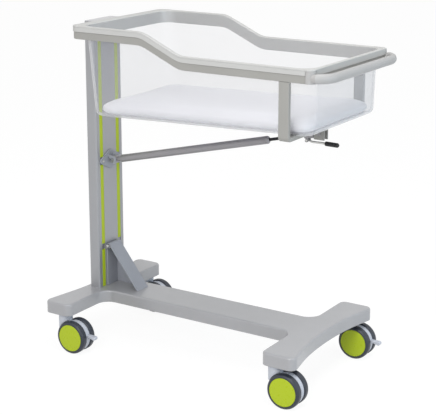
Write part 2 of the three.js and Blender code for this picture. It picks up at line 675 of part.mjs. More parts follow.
// Cradle frame: a flat bar round the back and both sides, a bar across the front, and corner posts
const sideEnd = postInner - SEAT_GAP;
const sideStations = [...rimStations, sideEnd];
function barLine(inset) {
  return planSides(rimBack + inset, rimHalf - inset, RIM_CORNER_RADIUS - inset, sideStations);
}
const barSection = [["inner", 0, RIM_CREASE - BAR_HEIGHT], ["outer", 0, RIM_CREASE - BAR_HEIGHT],
  ["outer", 0, RIM_CREASE], ["inner", 0, RIM_CREASE]];
const postSide = rimHalf - POST_SIZE - SEAT_GAP;
add(
  "frame_sides",
  rail({ inner: barLine(BAR_SETBACK + BAR_THICKNESS), outer: barLine(BAR_SETBACK) }, barSection),
  finish.frame,
);
add(
  "frame_end",
  crosswise(
    rectangle(rimFront - BAR_SETBACK - BAR_THICKNESS, rimFront - BAR_SETBACK,
      RIM_CREASE - BAR_HEIGHT, RIM_CREASE),
    -postSide, postSide,
  ),
  finish.frame,
);
const postTop = mouldingTop - POST_TOP_DROP;
const handleEnd = rimHalf - HANDLE_END_INSET;
const handleMiddle = mouldingTop - HANDLE_DROP;
const oval = (halfDepth, halfHeight) => Array.from({ length: HANDLE_SIDES }, (_, i) => {
  const turn = (2 * Math.PI * (i + 0.5)) / HANDLE_SIDES;
  const flat = Math.cos(Math.PI / HANDLE_SIDES); // the facets touch the oval
  return [(halfDepth * Math.cos(turn)) / flat, (halfHeight * Math.sin(turn)) / flat];
});
for (const [side, sign] of [["left", -1], ["right", 1]]) {
  const inner = sign * (rimHalf - POST_SIZE);
  const plan = outline([[postInner, inner], [rimFront, inner, POST_EDGE_RADIUS],
    [rimFront, sign * rimHalf, POST_RADIUS], [postInner, sign * rimHalf, POST_EDGE_RADIUS]]);
  const boss = skin([postInner + POST_EDGE_RADIUS, rimFront + HANDLE_COLLAR].map((x) =>
    oval(HANDLE_DEPTH / 2 - HANDLE_COLLAR_STEP, HANDLE_HEIGHT / 2 - HANDLE_COLLAR_STEP).map(([out, up]) =>
      new THREE.Vector3(x, sign * handleEnd + out, handleMiddle + up))));
  add(`corner_post_${side}`, join(upright(plan, RIM_CREASE - BAR_HEIGHT, postTop), boss), finish.handle);
}

// Push handle: an oval bar that leaves the bosses of the posts slanting inwards and bends across the front
function pushHandle() {
  const start = rimFront + HANDLE_COLLAR + SEAT_GAP;
  const bend = HANDLE_BEND_RADIUS;
  const bendX = rimFront + HANDLE_REACH - HANDLE_DEPTH / 2 - bend;
  const slant = Math.acos((start - bendX) / bend);
  const bendY = handleEnd - bend * Math.sin(slant);
  const sweep = Math.acos((start + RUNNING_GAP - bendX) / (bend - HANDLE_DEPTH / 2));
  const bendSteps = 2 * CORNER_STEPS;
  const bent = (sign, from) => Array.from({ length: bendSteps + 1 }, (_, i) => {
    const angle = from + sweep * (i / bendSteps);
    return { x: bendX + bend * Math.cos(angle), y: sign * bendY + bend * Math.sin(angle), angle, stretch: 1 };
  });
  const stretch = 1 / Math.sin(slant); // the slanting bar is cut square to its boss
  const path = [{ x: start, y: -handleEnd, angle: -Math.PI / 2, stretch }, ...bent(-1, -sweep), ...bent(1, 0),
    { x: start, y: handleEnd, angle: Math.PI / 2, stretch }];
  return skin(path.map(({ x, y, angle, stretch: wide }) =>
    oval((HANDLE_DEPTH / 2) * wide, HANDLE_HEIGHT / 2).map(([out, up]) =>
      new THREE.Vector3(x + out * Math.cos(angle), y + out * Math.sin(angle), handleMiddle + up))));
}
add("push_handle", pushHandle(), finish.handle);

// Hoop: a flat bar bent to a U under the tub, hung from the side bars
function hoopBar() {
  const top = RIM_CREASE - BAR_HEIGHT - SEAT_GAP;
  const inner = hoopOuter - HOOP_THICKNESS;
  const bend = HOOP_BEND_RADIUS;
  const innerBend = HOOP_INNER_RADIUS;
  const section = outline([[-hoopOuter, top], [-hoopOuter, hoopBottom, bend],
    [hoopOuter, hoopBottom, bend], [hoopOuter, top], [inner, top], [inner, hoopFloor, innerBend],
    [-inner, hoopFloor, innerBend], [-inner, top]]);
  return lengthwise(section, hoopMiddle - HOOP_WIDTH / 2, hoopMiddle + HOOP_WIDTH / 2);
}
add("hoop", hoopBar(), finish.frame);

// Clevis: a channel under the hoop, with an upright slot in each cheek for the rod's pin
const cheekInner = TONGUE_WIDTH / 2 + CLEVIS_SIDE_GAP;
const cheekOuter = cheekInner + CLEVIS_SHEET;
function rodClevis() {
  const top = hoopBottom - SEAT_GAP;
  const bottom = top - CLEVIS_HEIGHT;
  const channel = lengthwise(
    outline([[-cheekOuter, bottom], [-cheekInner, bottom], [-cheekInner, top - CLEVIS_SHEET],
      [cheekInner, top - CLEVIS_SHEET], [cheekInner, bottom], [cheekOuter, bottom],
      [cheekOuter, top], [-cheekOuter, top]]),
    rodPivot.x - CLEVIS_LENGTH / 2, rodPivot.x + CLEVIS_LENGTH / 2,
  );
  const slot = ROD_PIN_DIAMETER / 2 + 2 * RUNNING_GAP;
  const room = crosswise(
    rectangle(rodPivot.x - slot, rodPivot.x + slot, rodPivot.y - slot,
      rodPivot.y + slot + CLEVIS_SLOT_RISE, slot * NEARLY_ROUND),
    -2 * cheekOuter, 2 * cheekOuter,
  );
  return cut(channel, room);
}
add("rod_clevis", rodClevis(), finish.frame);

// Tub: one clear shell from the inside of its floor, over the wall and the lip, to its underside
const tubFloor = (x) => hoopFloor + SEAT_GAP + (x - hoopMiddle + HOOP_WIDTH / 2) * floorSlope;
function tubPlan(depthShare, inset) {
  const taper = (size) => size * depthShare + inset;
  return planLoop(tubBack + taper(TUB_BACK_TAPER), tubFront - taper(TUB_FRONT_TAPER),
    tubHalf - taper(TUB_SIDE_TAPER), TUB_CORNER_RADIUS - inset, rimStations);
}
function tubShell() {
  const at = (plan, height) => plan.map(([x, y]) => new THREE.Vector3(x, y, height(x)));
  const rimAt = (z) => (x) => z + rimRise(x);
  const floorAt = (lift) => (x) => tubFloor(x) + lift;
  const top = mouldingTop - TUB_TOP_DROP;
  const lipTop = lipBottom + TUB_LIP_THICKNESS;
  const round = TUB_FLOOR_RADIUS;
  const halfway = round * (1 - Math.SQRT1_2);
  const innerRound = round - TUB_WALL;
  const innerHalfway = TUB_WALL + innerRound * (1 - Math.SQRT1_2);
  return skin([
    at(tubPlan(1, round), floorAt(TUB_WALL)),
    at(tubPlan(1, innerHalfway), floorAt(innerHalfway)),
    at(tubPlan(1, TUB_WALL), floorAt(round)),
    at(tubPlan(0, TUB_WALL), rimAt(top)),
    at(tubPlan(0, 0), rimAt(top)),
    at(tubPlan(0, 0), rimAt(lipTop)),
    at(tubPlan(0, -TUB_LIP_WIDTH), rimAt(lipTop)),
    at(tubPlan(0, -TUB_LIP_WIDTH), rimAt(lipBottom)),
    at(tubPlan(0, 0), rimAt(lipBottom)),
    at(tubPlan(1, 0), floorAt(round)),
    at(tubPlan(1, halfway), floorAt(halfway)),
    at(tubPlan(1, round), floorAt(0)),
  ]);
}
add("tub_shell", tubShell(), finish.clear);

// Moulded rim on the bars and round the tub's lip: along the sides and back, and across the front,
// where its top runs on over the posts
const mouldingHalfway = MOULDING_ROUND * (1 - Math.SQRT1_2);
const lipReach = TUB_LIP_WIDTH + SEAT_GAP;
const mouldingShoulder = mouldingTop - MOULDING_ROUND;
const mouldingSection = [["inner", 0, mouldingBottom], ["lip", 0, mouldingBottom], ["lip", 0, lipBottom],
  ["outer", 0, lipBottom], ["outer", 0, mouldingShoulder],
  ["outer", -mouldingHalfway, mouldingTop - mouldingHalfway], ["outer", -MOULDING_ROUND, mouldingTop],
  ["inner", MOULDING_ROUND, mouldingTop], ["inner", mouldingHalfway, mouldingTop - mouldingHalfway],
  ["inner", 0, mouldingShoulder]];
const besideTub = (out) =>
  planSides(tubBack - out, tubHalf + out, TUB_CORNER_RADIUS + out, sideStations);
const mouldingLines = { inner: besideTub(SEAT_GAP), lip: besideTub(lipReach),
  outer: planSides(rimBack, rimHalf, RIM_CORNER_RADIUS, sideStations) };
add("rim_sides", rail(mouldingLines, mouldingSection), finish.moulding);
function rimEnd() {
  const cornerX = rimFront - RIM_NOSE_RADIUS;
  const cornerY = rimHalf - RIM_NOSE_RADIUS;
  const nose = (inset, z) => [[postInner, inset - rimHalf],
    ...planCorner(cornerX, -cornerY, RIM_NOSE_RADIUS - inset, -Math.PI / 2),
    ...planCorner(cornerX, cornerY, RIM_NOSE_RADIUS - inset, 0), [postInner, rimHalf - inset]]
    .map(([x, y]) => new THREE.Vector3(x, y, z));
  const block = skin([nose(0, lipBottom), nose(0, mouldingShoulder),
    nose(mouldingHalfway, mouldingTop - mouldingHalfway), nose(MOULDING_ROUND, mouldingTop)]);
  const tubRoom = (out, z1) => upright(
    outline(planLoop(tubBack - out, tubFront + out, tubHalf + out, TUB_CORNER_RADIUS + out, [])),
    RIM_CREASE, z1);
  const postRoom = (y0, y1) =>
    upright(rectangle(postInner - SEAT_GAP, rimFront + SEAT_GAP, y0, y1), RIM_CREASE, postTop + SEAT_GAP);
  return cut(block, tubRoom(SEAT_GAP, mouldingTop + SEAT_GAP), tubRoom(lipReach, mouldingBottom),
    postRoom(-rimHalf - SEAT_GAP, -postSide), postRoom(postSide, rimHalf + SEAT_GAP));
}
add("rim_end", rimEnd(), finish.moulding);

// Mattress: a crowned pad whose sides draw in between its corners, lying on the tub's floor
function mattressPad() {
  const margin = TUB_WALL + MATTRESS_CLEARANCE;
  const back = tubBack + TUB_BACK_TAPER + margin;
  const front = tubFront - TUB_FRONT_TAPER - margin;
  const half = tubHalf - TUB_SIDE_TAPER - margin;
  const middle = (back + front) / 2;
  const halfLength = (front - back) / 2;
  const shares = [-0.5, -0.25, 0, 0.25, 0.5];
  const drawn = (x, y) => {
    const along = (x - middle) / halfLength;
    const aside = y / half;
    return [x - MATTRESS_DRAW_IN * Math.sign(along) * (1 - aside ** 2) * along ** 6,
      y - MATTRESS_DRAW_IN * Math.sign(aside) * (1 - along ** 2) * aside ** 6];
  };
  const pillow = (inset, height) =>
    planLoop(back + inset, front - inset, half - inset,
      Math.max(MATTRESS_CORNER_RADIUS - inset, MATTRESS_CROWN_RADIUS),
      shares.map((share) => middle + share * halfLength), shares.map((share) => share * half))
      .map(([x, y]) => {
        const [px, py] = drawn(x, y);
        return new THREE.Vector3(px, py, tubFloor(px) + TUB_WALL + height);
      });
  const edge = MATTRESS_EDGE;
  const thick = MATTRESS_THICKNESS;
  return skin([
    pillow(edge, SEAT_GAP),
    pillow(edge * 0.25, thick * 0.2),
    pillow(0, thick * 0.45),
    pillow(edge * 0.2, thick * 0.72),
    pillow(edge, thick * 0.88),
    pillow(edge * 4, thick * 0.96),
    pillow(edge * 9, thick),
  ]);
}
add("mattress", mattressPad(), finish.mattress);

// Gas spring: its bracket on the column
const eyeRadius = SPRING_EYE_DIAMETER / 2;
const springEar = SPRING_EYE_WIDTH / 2 + RUNNING_GAP;
const springEarOuter = springEar + SPRING_EAR_THICKNESS;
function springBracket() {
  const back = columnFace + SEAT_GAP;
  const face = back + SPRING_FLANGE_THICKNESS;
  const across = SPRING_FLANGE_WIDTH / 2;
  const tall = SPRING_FLANGE_HEIGHT / 2;
  const tip = SPRING_FLANGE_TIP_RADIUS;
  const middle = SPRING_FLANGE_MIDDLE_RADIUS;
  const { x, y: z } = springPivot;
  const flange = lengthwise(
    outline([[-across, z, tip], [0, z - tall, middle], [across, z, tip], [0, z + tall, middle]]), back, face);
  const ear = earOutline(back, springPivot, eyeRadius, SPRING_EAR_SPREAD);
  const ears = [-springEarOuter, springEar].map((y) => crosswise(ear, y, y + SPRING_EAR_THICKNESS));
  const bore = turnedY(rod(SPRING_PIN_DIAMETER / 2 + SEAT_GAP, -across, across), PIN_SIDES);
  const screwHoles = [-1, 1].map((sign) =>
    turnedX(rod(SCREW_DIAMETER / 2 + SEAT_GAP, back - SLOT_DEPTH, face + SLOT_DEPTH), PIN_SIDES)
      .translate(0, (sign * SLOT_SPACING) / 2, z));
  return cut(join(flange, ...ears), bore.translate(x, 0, z), ...screwHoles);
}
add("spring_bracket", springBracket(), finish.greyPaint);
const screwSeat = columnFace + 2 * SEAT_GAP + SPRING_FLANGE_THICKNESS;
for (const [side, sign] of [["left", -1], ["right", 1]]) {
  const screw = turnedX([[0, columnFace - SLOT_DEPTH + SEAT_GAP],
    [SCREW_DIAMETER / 2, columnFace - SLOT_DEPTH + SEAT_GAP], [SCREW_DIAMETER / 2, screwSeat],
    [SCREW_HEAD_DIAMETER / 2, screwSeat], [SCREW_HEAD_DIAMETER / 2, screwSeat + SCREW_HEAD_HEIGHT / 2],
    [SCREW_DIAMETER / 2, screwSeat + SCREW_HEAD_HEIGHT], [0, screwSeat + SCREW_HEAD_HEIGHT]],
  PIN_SIDES);
  add(`bracket_screw_${side}`, screw.translate(0, (sign * SLOT_SPACING) / 2, springPivot.y), finish.bright);
}
add(
  "spring_pivot_pin",
  turnedY(
    headedPin(SPRING_PIN_DIAMETER, SPRING_PIN_HEAD_DIAMETER, springEarOuter + SEAT_GAP, PIN_HEAD_HEIGHT),
    PIN_SIDES,
  ).translate(springPivot.x, 0, springPivot.y),
  finish.bright,
);

// The spring itself, drawn along X from its pivot and turned to point at the rod's pin
const spring = addGroup(springPivot.x, 0, springPivot.y);
spring.rotation.y = -springAngle;
const cylinderRadius = CYLINDER_DIAMETER / 2;
const boreRadius = cylinderRadius - CYLINDER_WALL;
const rodRadius = ROD_DIAMETER / 2;
function springCylinder() {
  const closed = CYLINDER_START + 2 * CYLINDER_WALL;
  const body = turnedX([[0, CYLINDER_START], [cylinderRadius - CYLINDER_CHAMFER, CYLINDER_START],
    [cylinderRadius, CYLINDER_START + CYLINDER_CHAMFER], [cylinderRadius, CYLINDER_END],
    [boreRadius, CYLINDER_END], [boreRadius, closed], [0, closed]]);
  const eye = turnedY(rod(eyeRadius, -SPRING_EYE_WIDTH / 2, SPRING_EYE_WIDTH / 2));
  const neck = turnedX(rod(CYLINDER_NECK_DIAMETER / 2, 0, CYLINDER_START + CYLINDER_WALL), PIN_SIDES);
  const bore = turnedY(
    rod(SPRING_PIN_DIAMETER / 2 + RUNNING_GAP, -SPRING_EYE_WIDTH, SPRING_EYE_WIDTH), PIN_SIDES);
  return cut(join(body, eye, neck), bore);
}
const glandInner = rodRadius + RUNNING_GAP;
const glandStart = CYLINDER_END - GLAND_SPIGOT;
const glandFace = CYLINDER_END + SEAT_GAP;
const glandProfile = [[glandInner, glandStart], [boreRadius - SEAT_GAP, glandStart],
  [boreRadius - SEAT_GAP, glandFace], [cylinderRadius, glandFace],
  [cylinderRadius, glandFace + GLAND_LENGTH - GLAND_CHAMFER],
  [cylinderRadius - GLAND_CHAMFER, glandFace + GLAND_LENGTH],
  [glandInner, glandFace + GLAND_LENGTH], [glandInner, glandStart]];
const headStart = springLength - HEAD_START;
const headEnd = springLength - HEAD_END;
const rodProfile = [[0, PISTON_START], [boreRadius - RUNNING_GAP, PISTON_START],
  [boreRadius - RUNNING_GAP, PISTON_START + PISTON_LENGTH], [rodRadius, PISTON_START + PISTON_LENGTH],
  [rodRadius, headStart - SEAT_GAP], [0, headStart - SEAT_GAP]];
add("spring_cylinder", springCylinder(), finish.cylinder, spring);
add("spring_gland", turnedX(glandProfile), finish.cylinder, spring);
add("spring_rod", turnedX(rodProfile, PIN_SIDES), finish.rod, spring);

// Release head: a sleeve on the rod's end, a tongue with the cross pin, and lugs for the lever
const leverPivotAlong = springLength - LEVER_PIVOT_BACK;
const lugOuter = LEVER_LUG_GAP / 2 + LEVER_LUG_THICKNESS;
const leverBarEnd = lugOuter + LEVER_PIVOT_OVERHANG;
function releaseHead() {
  const headRadius = HEAD_DIAMETER / 2;
  const sleeve = turnedX([[0, headStart], [headRadius - HEAD_CHAMFER, headStart],
    [headRadius, headStart + HEAD_CHAMFER], [headRadius, headEnd], [0, headEnd]]);
  const tongueHalf = TONGUE_HEIGHT / 2;
  const tongueEnd = springLength + tongueHalf;
  const tongue = crosswise(
    outline([[headEnd - tongueHalf, -tongueHalf], [tongueEnd, -tongueHalf, tongueHalf * NEARLY_ROUND],
      [tongueEnd, tongueHalf, tongueHalf * NEARLY_ROUND], [headEnd - tongueHalf, tongueHalf]]),
    -TONGUE_WIDTH / 2, TONGUE_WIDTH / 2,
  );
  const pin = turnedY(
    headedPin(ROD_PIN_DIAMETER, ROD_PIN_HEAD_DIAMETER, cheekOuter + RUNNING_GAP, ROD_PIN_HEAD_HEIGHT),
    PIN_SIDES,
  );
  const lugHalf = LEVER_LUG_WIDTH / 2;
  const lugTip = lugHalf * NEARLY_ROUND;
  const lugs = [-lugOuter, LEVER_LUG_GAP / 2].map((y) =>
    crosswise(
      outline([[leverPivotAlong - lugHalf, 0],
        [leverPivotAlong - lugHalf, -LEVER_PIVOT_DROP - lugHalf, lugTip],
        [leverPivotAlong + lugHalf, -LEVER_PIVOT_DROP - lugHalf, lugTip],
        [leverPivotAlong + lugHalf, 0]]),
      y, y + LEVER_LUG_THICKNESS,
    ));
  const bore = turnedY(
    rod(LEVER_PIVOT_DIAMETER / 2 + RUNNING_GAP, -2 * lugOuter, 2 * lugOuter), PIN_SIDES);
  return cut(
    join(sleeve, tongue, pin.translate(springLength, 0, 0), ...lugs),
    bore.translate(leverPivotAlong, 0, -LEVER_PIVOT_DROP),
  );
}
add("release_head", releaseHead(), finish.cylinder, spring);

// Release lever: a cross bar in the head's lugs and a bent wire to the grip, level with the floor
const leverPivot = springPivot.clone()
  .addScaledVector(new THREE.Vector2(Math.cos(springAngle), Math.sin(springAngle)), leverPivotAlong)
  .addScaledVector(new THREE.Vector2(Math.sin(springAngle), -Math.cos(springAngle)), LEVER_PIVOT_DROP);
const lever = addGroup(leverPivot.x, 0, leverPivot.y);
const droop = THREE.MathUtils.degToRad(LEVER_DROOP);
function leverWire() {
  const gripPoint = (along) =>
    new THREE.Vector3(LEVER_RUN + along * Math.cos(droop), 0, -LEVER_DROP - along * Math.sin(droop));
  const inGrip = GRIP_BORE_DEPTH - SEAT_GAP;
  const path = new THREE.CatmullRomCurve3([
    new THREE.Vector3(0, 0, 0), new THREE.Vector3(LEVER_KNEE / 2, 0, -LEVER_DROP / 2),
    new THREE.Vector3(LEVER_KNEE, 0, -LEVER_DROP), new THREE.Vector3(LEVER_RUN / 2, 0, -LEVER_DROP),
    gripPoint(-SEAT_GAP), gripPoint(inGrip / 2), gripPoint(inGrip),
  ]);
  const round = new THREE.Shape().absarc(0, 0, LEVER_WIRE_DIAMETER / 2, 0, 2 * Math.PI);
  const wire = new THREE.ExtrudeGeometry(round, {
    steps: LEVER_STEPS, extrudePath: path, curveSegments: LEVER_SIDES / 2,
  });
  const bar = turnedY(rod(LEVER_PIVOT_DIAMETER / 2, -leverBarEnd, leverBarEnd), PIN_SIDES);
  return join(wire, bar);
}
add("release_lever", leverWire(), finish.bright, lever);
const gripRadius = GRIP_DIAMETER / 2;
const gripBore = LEVER_WIRE_DIAMETER / 2 + SEAT_GAP;
const grip = add(
  "lever_grip",
  turnedX([[0, GRIP_BORE_DEPTH], [gripBore, GRIP_BORE_DEPTH], [gripBore, 0],
    [gripRadius - GRIP_ROUND / 4, 0], [gripRadius, GRIP_ROUND / 4], [gripRadius, GRIP_LENGTH - GRIP_ROUND],
    [gripRadius - GRIP_ROUND, GRIP_LENGTH], [0, GRIP_LENGTH]], ROUND_SIDES),
  finish.black, lever,
);
grip.position.set(LEVER_RUN, 0, -LEVER_DROP);
grip.rotation.y = droop;

// Casters, each drawn from its swivel axis at floor level, with the wheels trailing to the front
const wheelInner = HOOD_WIDTH / 2 + RUNNING_GAP;
const flatToCorner = 1 / Math.cos(Math.PI / WHEEL_SIDES); // the tread's flats lie at its radius
const treadRadius = (WHEEL_DIAMETER / 2) * flatToCorner;
const hoodTop = BASE_UNDERSIDE - SEAT_GAP;
function casterHood() {
  const axle = (profile) => turnedY(profile, WHEEL_SIDES).translate(CASTER_TRAIL, 0, axleHeight);
  const disc = axle(rod(HOOD_DIAMETER / 2, -HOOD_WIDTH / 2, HOOD_WIDTH / 2));
  const neck = turnedZ(rod(CASTER_NECK_DIAMETER / 2, hoodTop - CASTER_NECK_DEPTH, hoodTop));
  const envelope = treadRadius + 2 * RUNNING_GAP;
  const inside = HOOD_WIDTH / 2;
  const wheels = [[-inside - CASTER_NECK_DIAMETER, -inside], [inside, inside + CASTER_NECK_DIAMETER]]
    .map(([a0, a1]) => axle(rod(envelope, a0, a1)));
  const axleEnd = wheelInner + WHEEL_WIDTH - HUB_DISC_THICKNESS - AXLE_CAP_GAP;
  const kingPin = turnedZ(
    rod(KING_PIN_DIAMETER / 2, hoodTop - CASTER_NECK_DEPTH / 2, BASE_UNDERSIDE + KING_PIN_LENGTH), PIN_SIDES);
  return join(cut(join(disc, neck), ...wheels), axle(rod(AXLE_DIAMETER / 2, -axleEnd, axleEnd)), kingPin);
}
function tyreProfile() {
  const bore = AXLE_DIAMETER / 2 + RUNNING_GAP;
  const outer = WHEEL_WIDTH;
  const recess = HUB_DISC_DIAMETER / 2 + SEAT_GAP;
  const seat = outer - HUB_DISC_THICKNESS;
  const round = TYRE_ROUND * (1 - Math.SQRT1_2);
  return [[bore, 0], [treadRadius - TYRE_SHOULDER, 0], [treadRadius, TYRE_SHOULDER],
    [treadRadius, outer - TYRE_ROUND], [treadRadius - round, outer - round],
    [treadRadius - TYRE_ROUND, outer], [recess, outer], [recess, seat], [bore, seat], [bore, 0]];
}
function hubProfile() {
  const seat = WHEEL_WIDTH - HUB_DISC_THICKNESS + SEAT_GAP;
  const radius = HUB_DISC_DIAMETER / 2;
  return [[0, seat], [radius, seat], [radius, WHEEL_WIDTH - HUB_DISC_CHAMFER / 2],
    [radius - HUB_DISC_CHAMFER, WHEEL_WIDTH], [0, WHEEL_WIDTH + HUB_DISC_CROWN]];
}
function brakeTab() {
  const start = HOOD_DIAMETER / 2;
  const end = start + BRAKE_TAB_REACH;
  const half = BRAKE_TAB_THICKNESS / 2;
  const root = start - HOOD_WIDTH;
  const tongue = crosswise(
    outline([[root, BRAKE_TAB_RISE - half], [end, BRAKE_TAB_RISE - half, half * NEARLY_ROUND],
      [end, BRAKE_TAB_RISE + half, half * NEARLY_ROUND], [root, BRAKE_TAB_RISE + half]]),
    -BRAKE_TAB_WIDTH / 2, BRAKE_TAB_WIDTH / 2,
  );
  const room = (start + SEAT_GAP) * flatToCorner;
  return cut(tongue, turnedY(rod(room, -HOOD_WIDTH, HOOD_WIDTH), WHEEL_SIDES));
}
for (const { name, x, y, braked } of swivelPlaces) {
  const swivel = addGroup(x, y, 0);
  add(`${name}_hood`, casterHood(), finish.hood, swivel);
  const axle = addGroup(CASTER_TRAIL, 0, axleHeight, swivel);
  for (const [side, turn] of [["left", Math.PI], ["right", 0]]) {
    const wheel = addGroup(0, turn ? -wheelInner : wheelInner, 0, axle);
    wheel.rotation.z = turn;
    const facet = Math.PI / WHEEL_SIDES;
    add(`${name}_tyre_${side}`, turnedY(tyreProfile(), WHEEL_SIDES, facet), finish.tyre, wheel);
    add(`${name}_hub_${side}`, turnedY(hubProfile(), WHEEL_SIDES, facet), finish.lime, wheel);
  }
  if (braked) add(`${name}_brake`, brakeTab(), finish.hood, axle);
}

export default bassinet;
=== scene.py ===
"""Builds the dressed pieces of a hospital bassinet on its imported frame, with a plain studio."""

import json
import math

import bmesh
import bpy
from mathutils import Matrix, Vector


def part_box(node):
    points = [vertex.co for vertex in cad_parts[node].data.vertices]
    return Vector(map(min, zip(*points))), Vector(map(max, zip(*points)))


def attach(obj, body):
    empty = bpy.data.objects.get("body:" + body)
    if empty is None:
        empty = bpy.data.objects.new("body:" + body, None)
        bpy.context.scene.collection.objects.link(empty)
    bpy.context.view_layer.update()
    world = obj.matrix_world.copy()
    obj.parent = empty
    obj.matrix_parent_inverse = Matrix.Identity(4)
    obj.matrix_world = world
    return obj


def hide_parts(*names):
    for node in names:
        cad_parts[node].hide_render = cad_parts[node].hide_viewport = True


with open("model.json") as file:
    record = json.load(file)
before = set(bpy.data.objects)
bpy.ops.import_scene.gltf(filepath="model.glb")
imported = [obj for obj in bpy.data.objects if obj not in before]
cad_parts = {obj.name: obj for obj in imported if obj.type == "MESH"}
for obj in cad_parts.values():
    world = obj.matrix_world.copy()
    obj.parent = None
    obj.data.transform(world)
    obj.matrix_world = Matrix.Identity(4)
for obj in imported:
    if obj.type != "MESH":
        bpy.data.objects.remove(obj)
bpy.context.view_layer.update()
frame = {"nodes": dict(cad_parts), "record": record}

bl_info = {
    "name": "Hospital Bassinet",
    "version": (1, 0, 0),
    "blender": (4, 5, 0),
    "location": "View3D > Sidebar > Bassinet",
    "description": "Dressed pieces of a hospital bassinet: base, column, cradle, tub, gas spring and casters",
    "category": "Object",
}

JOINTS = {joint["name"]: joint for joint in frame["record"]["behaviour"]["joints"]}
ALONG, ACROSS, UP = Vector((1, 0, 0)), Vector((0, 1, 0)), Vector((0, 0, 1))
GAP = 0.0003  # between pieces that rest on each other
SAME = 1e-6  # points nearer to each other than this are merged
NEAR = 1e-5  # points nearer to a place than this are on it

# Rounds along edges, in metres
FINE_EDGE = 0.0003  # strips and the gland
GROUND_EDGE = 0.0004  # the rod
TURNED_EDGE = 0.0005  # extruded and turned metal
MOULDED_EDGE = 0.0006  # mouldings
CUT_EDGE = 0.0008  # thick plates and the grip
FOLDED_EDGE = 0.0009  # folded plates
SOFT_EDGE = 0.001  # the handle's ends and the brake tabs


# Settings


def number(name, default, description, **limits):
    """A number as a property."""
    return bpy.props.FloatProperty(name=name, description=description, default=default, **limits)


def length(name, millimetres, description):
    """A length in millimetres as a property in metres."""
    return number(name, millimetres / 1000, description, min=0.0, unit="LENGTH", precision=4)


def angle(name, degrees, description):
    """An angle in degrees as a property in radians."""
    return number(name, math.radians(degrees), description, subtype="ANGLE")


def linear(hex_colour):
    """An sRGB hex colour as linear red, green, blue and alpha."""
    levels = [int(hex_colour[i : i + 2], 16) / 255 for i in (1, 3, 5)]
    return (*(c / 12.92 if c <= 0.04045 else ((c + 0.055) / 1.055) ** 2.4 for c in levels), 1.0)


def colour(name, hex_colour, description):
    """An sRGB hex colour as a colour property."""
    return bpy.props.FloatVectorProperty(
        name=name, description=description, default=linear(hex_colour), size=4, min=0.0, max=1.0,
        subtype="COLOR"
    )


class BaseSizes(bpy.types.PropertyGroup):
    """Moulded cover of the base, with two feet and a beam between them."""

    beam_width: length("Beam width", 126, "Across the beam")
    back_foot: length("Back foot", 93, "Length of the foot under the column")
    front_foot: length("Front foot", 103, "Length of the foot under the tub")
    tip_radius: length("Tip radius", 20, "Corners of the feet in plan")
    fillet_radius: length("Fillet radius", 38, "Where a foot meets the beam")
    back_hollow: length("Back hollow", 34, "How far the back edge runs in at its middle")
    front_hollow: length("Front hollow", 46, "How far the front edge runs in at its middle")
    hollow_radius: length("Hollow radius", 800, "Bend at the middle of both hollow edges")
    edge_radius: length("Edge radius", 6, "Round along the top edge")
    wall: length("Wall", 3.5, "Thickness of the moulding")


class ColumnSizes(bpy.types.PropertyGroup):
    """Aluminium extrusion with two slots for the coloured strips."""

    edge_radius: length("Edge radius", 6, "Upright edges")
    slot_width: length("Slot width", 16, "Across one slot")
    slot_depth: length("Slot depth", 3, "Into the front face")
    slot_spacing: length("Slot spacing", 81, "Middle to middle")
    strip_round: length("Strip round", 1.2, "Front edges of a strip")
    cap_round: length("Cap round", 1.8, "Top edge of the end cap")


class CradleSizes(bpy.types.PropertyGroup):
    """Stepped rim, flat bars, corner posts, push handle and hoop."""

    step: length("Step", 56.5, "Rise from the low sides to the high end")
    high_length: length("High length", 247, "Level part at the high end")
    slope_length: length("Slope length", 126, "From the high to the low level")
    knee: length("Knee", 18, "Half the length of each bend in the rim")
    rim_radius: length("Rim radius", 26, "Outer corners of the rim at the column, in plan")
    nose_radius: length("Nose radius", 21, "Outer corners of the rim at the handle, in plan")
    rim_round: length("Rim round", 4.6, "Top edges of the moulding")
    groove_height: length("Groove height", 14, "Groove round the moulding, above its underside")
    groove_size: length("Groove size", 2, "Depth of that groove, and half its width")
    lip_thickness: length("Lip thickness", 1.2, "Lip of the moulding that hangs between the bar and the tub")
    lip_drop: length("Lip drop", 20, "From the moulding's underside to the lip's edge")
    bar_setback: length("Bar setback", 2, "Bar face behind the moulding's")
    bar_thickness: length("Bar thickness", 10, "Across the flat bar")
    bar_round: length("Bar round", 1.6, "Edges of the flat bar")
    post_size: length("Post size", 22, "Across a corner post")
    post_radius: length("Post radius", 19, "Outer corner of a post")
    post_edge: length("Post edge", 2, "Other upright edges of a post, half of it where two bars meet")
    post_round: length("Post round", 1.2, "Top edges of a post")
    boss_start: length("Boss start", 2, "Back of a post to the start of the boss under the handle's end")
    collar_step: length("Collar step", 1.5, "Handle's surface down to the boss")
    handle_bend: length("Handle bend", 57, "Bends of the push handle, at its middle")
    handle_depth: length("Handle depth", 21, "Across the oval grip, lengthwise")
    hoop_thickness: length("Hoop thickness", 12, "Thickness of the bent flat bar")
    hoop_bend: length("Hoop bend", 14, "Outer bend of the hoop")
    hoop_edge: length("Hoop edge", 2, "Edges of the bent flat bar")


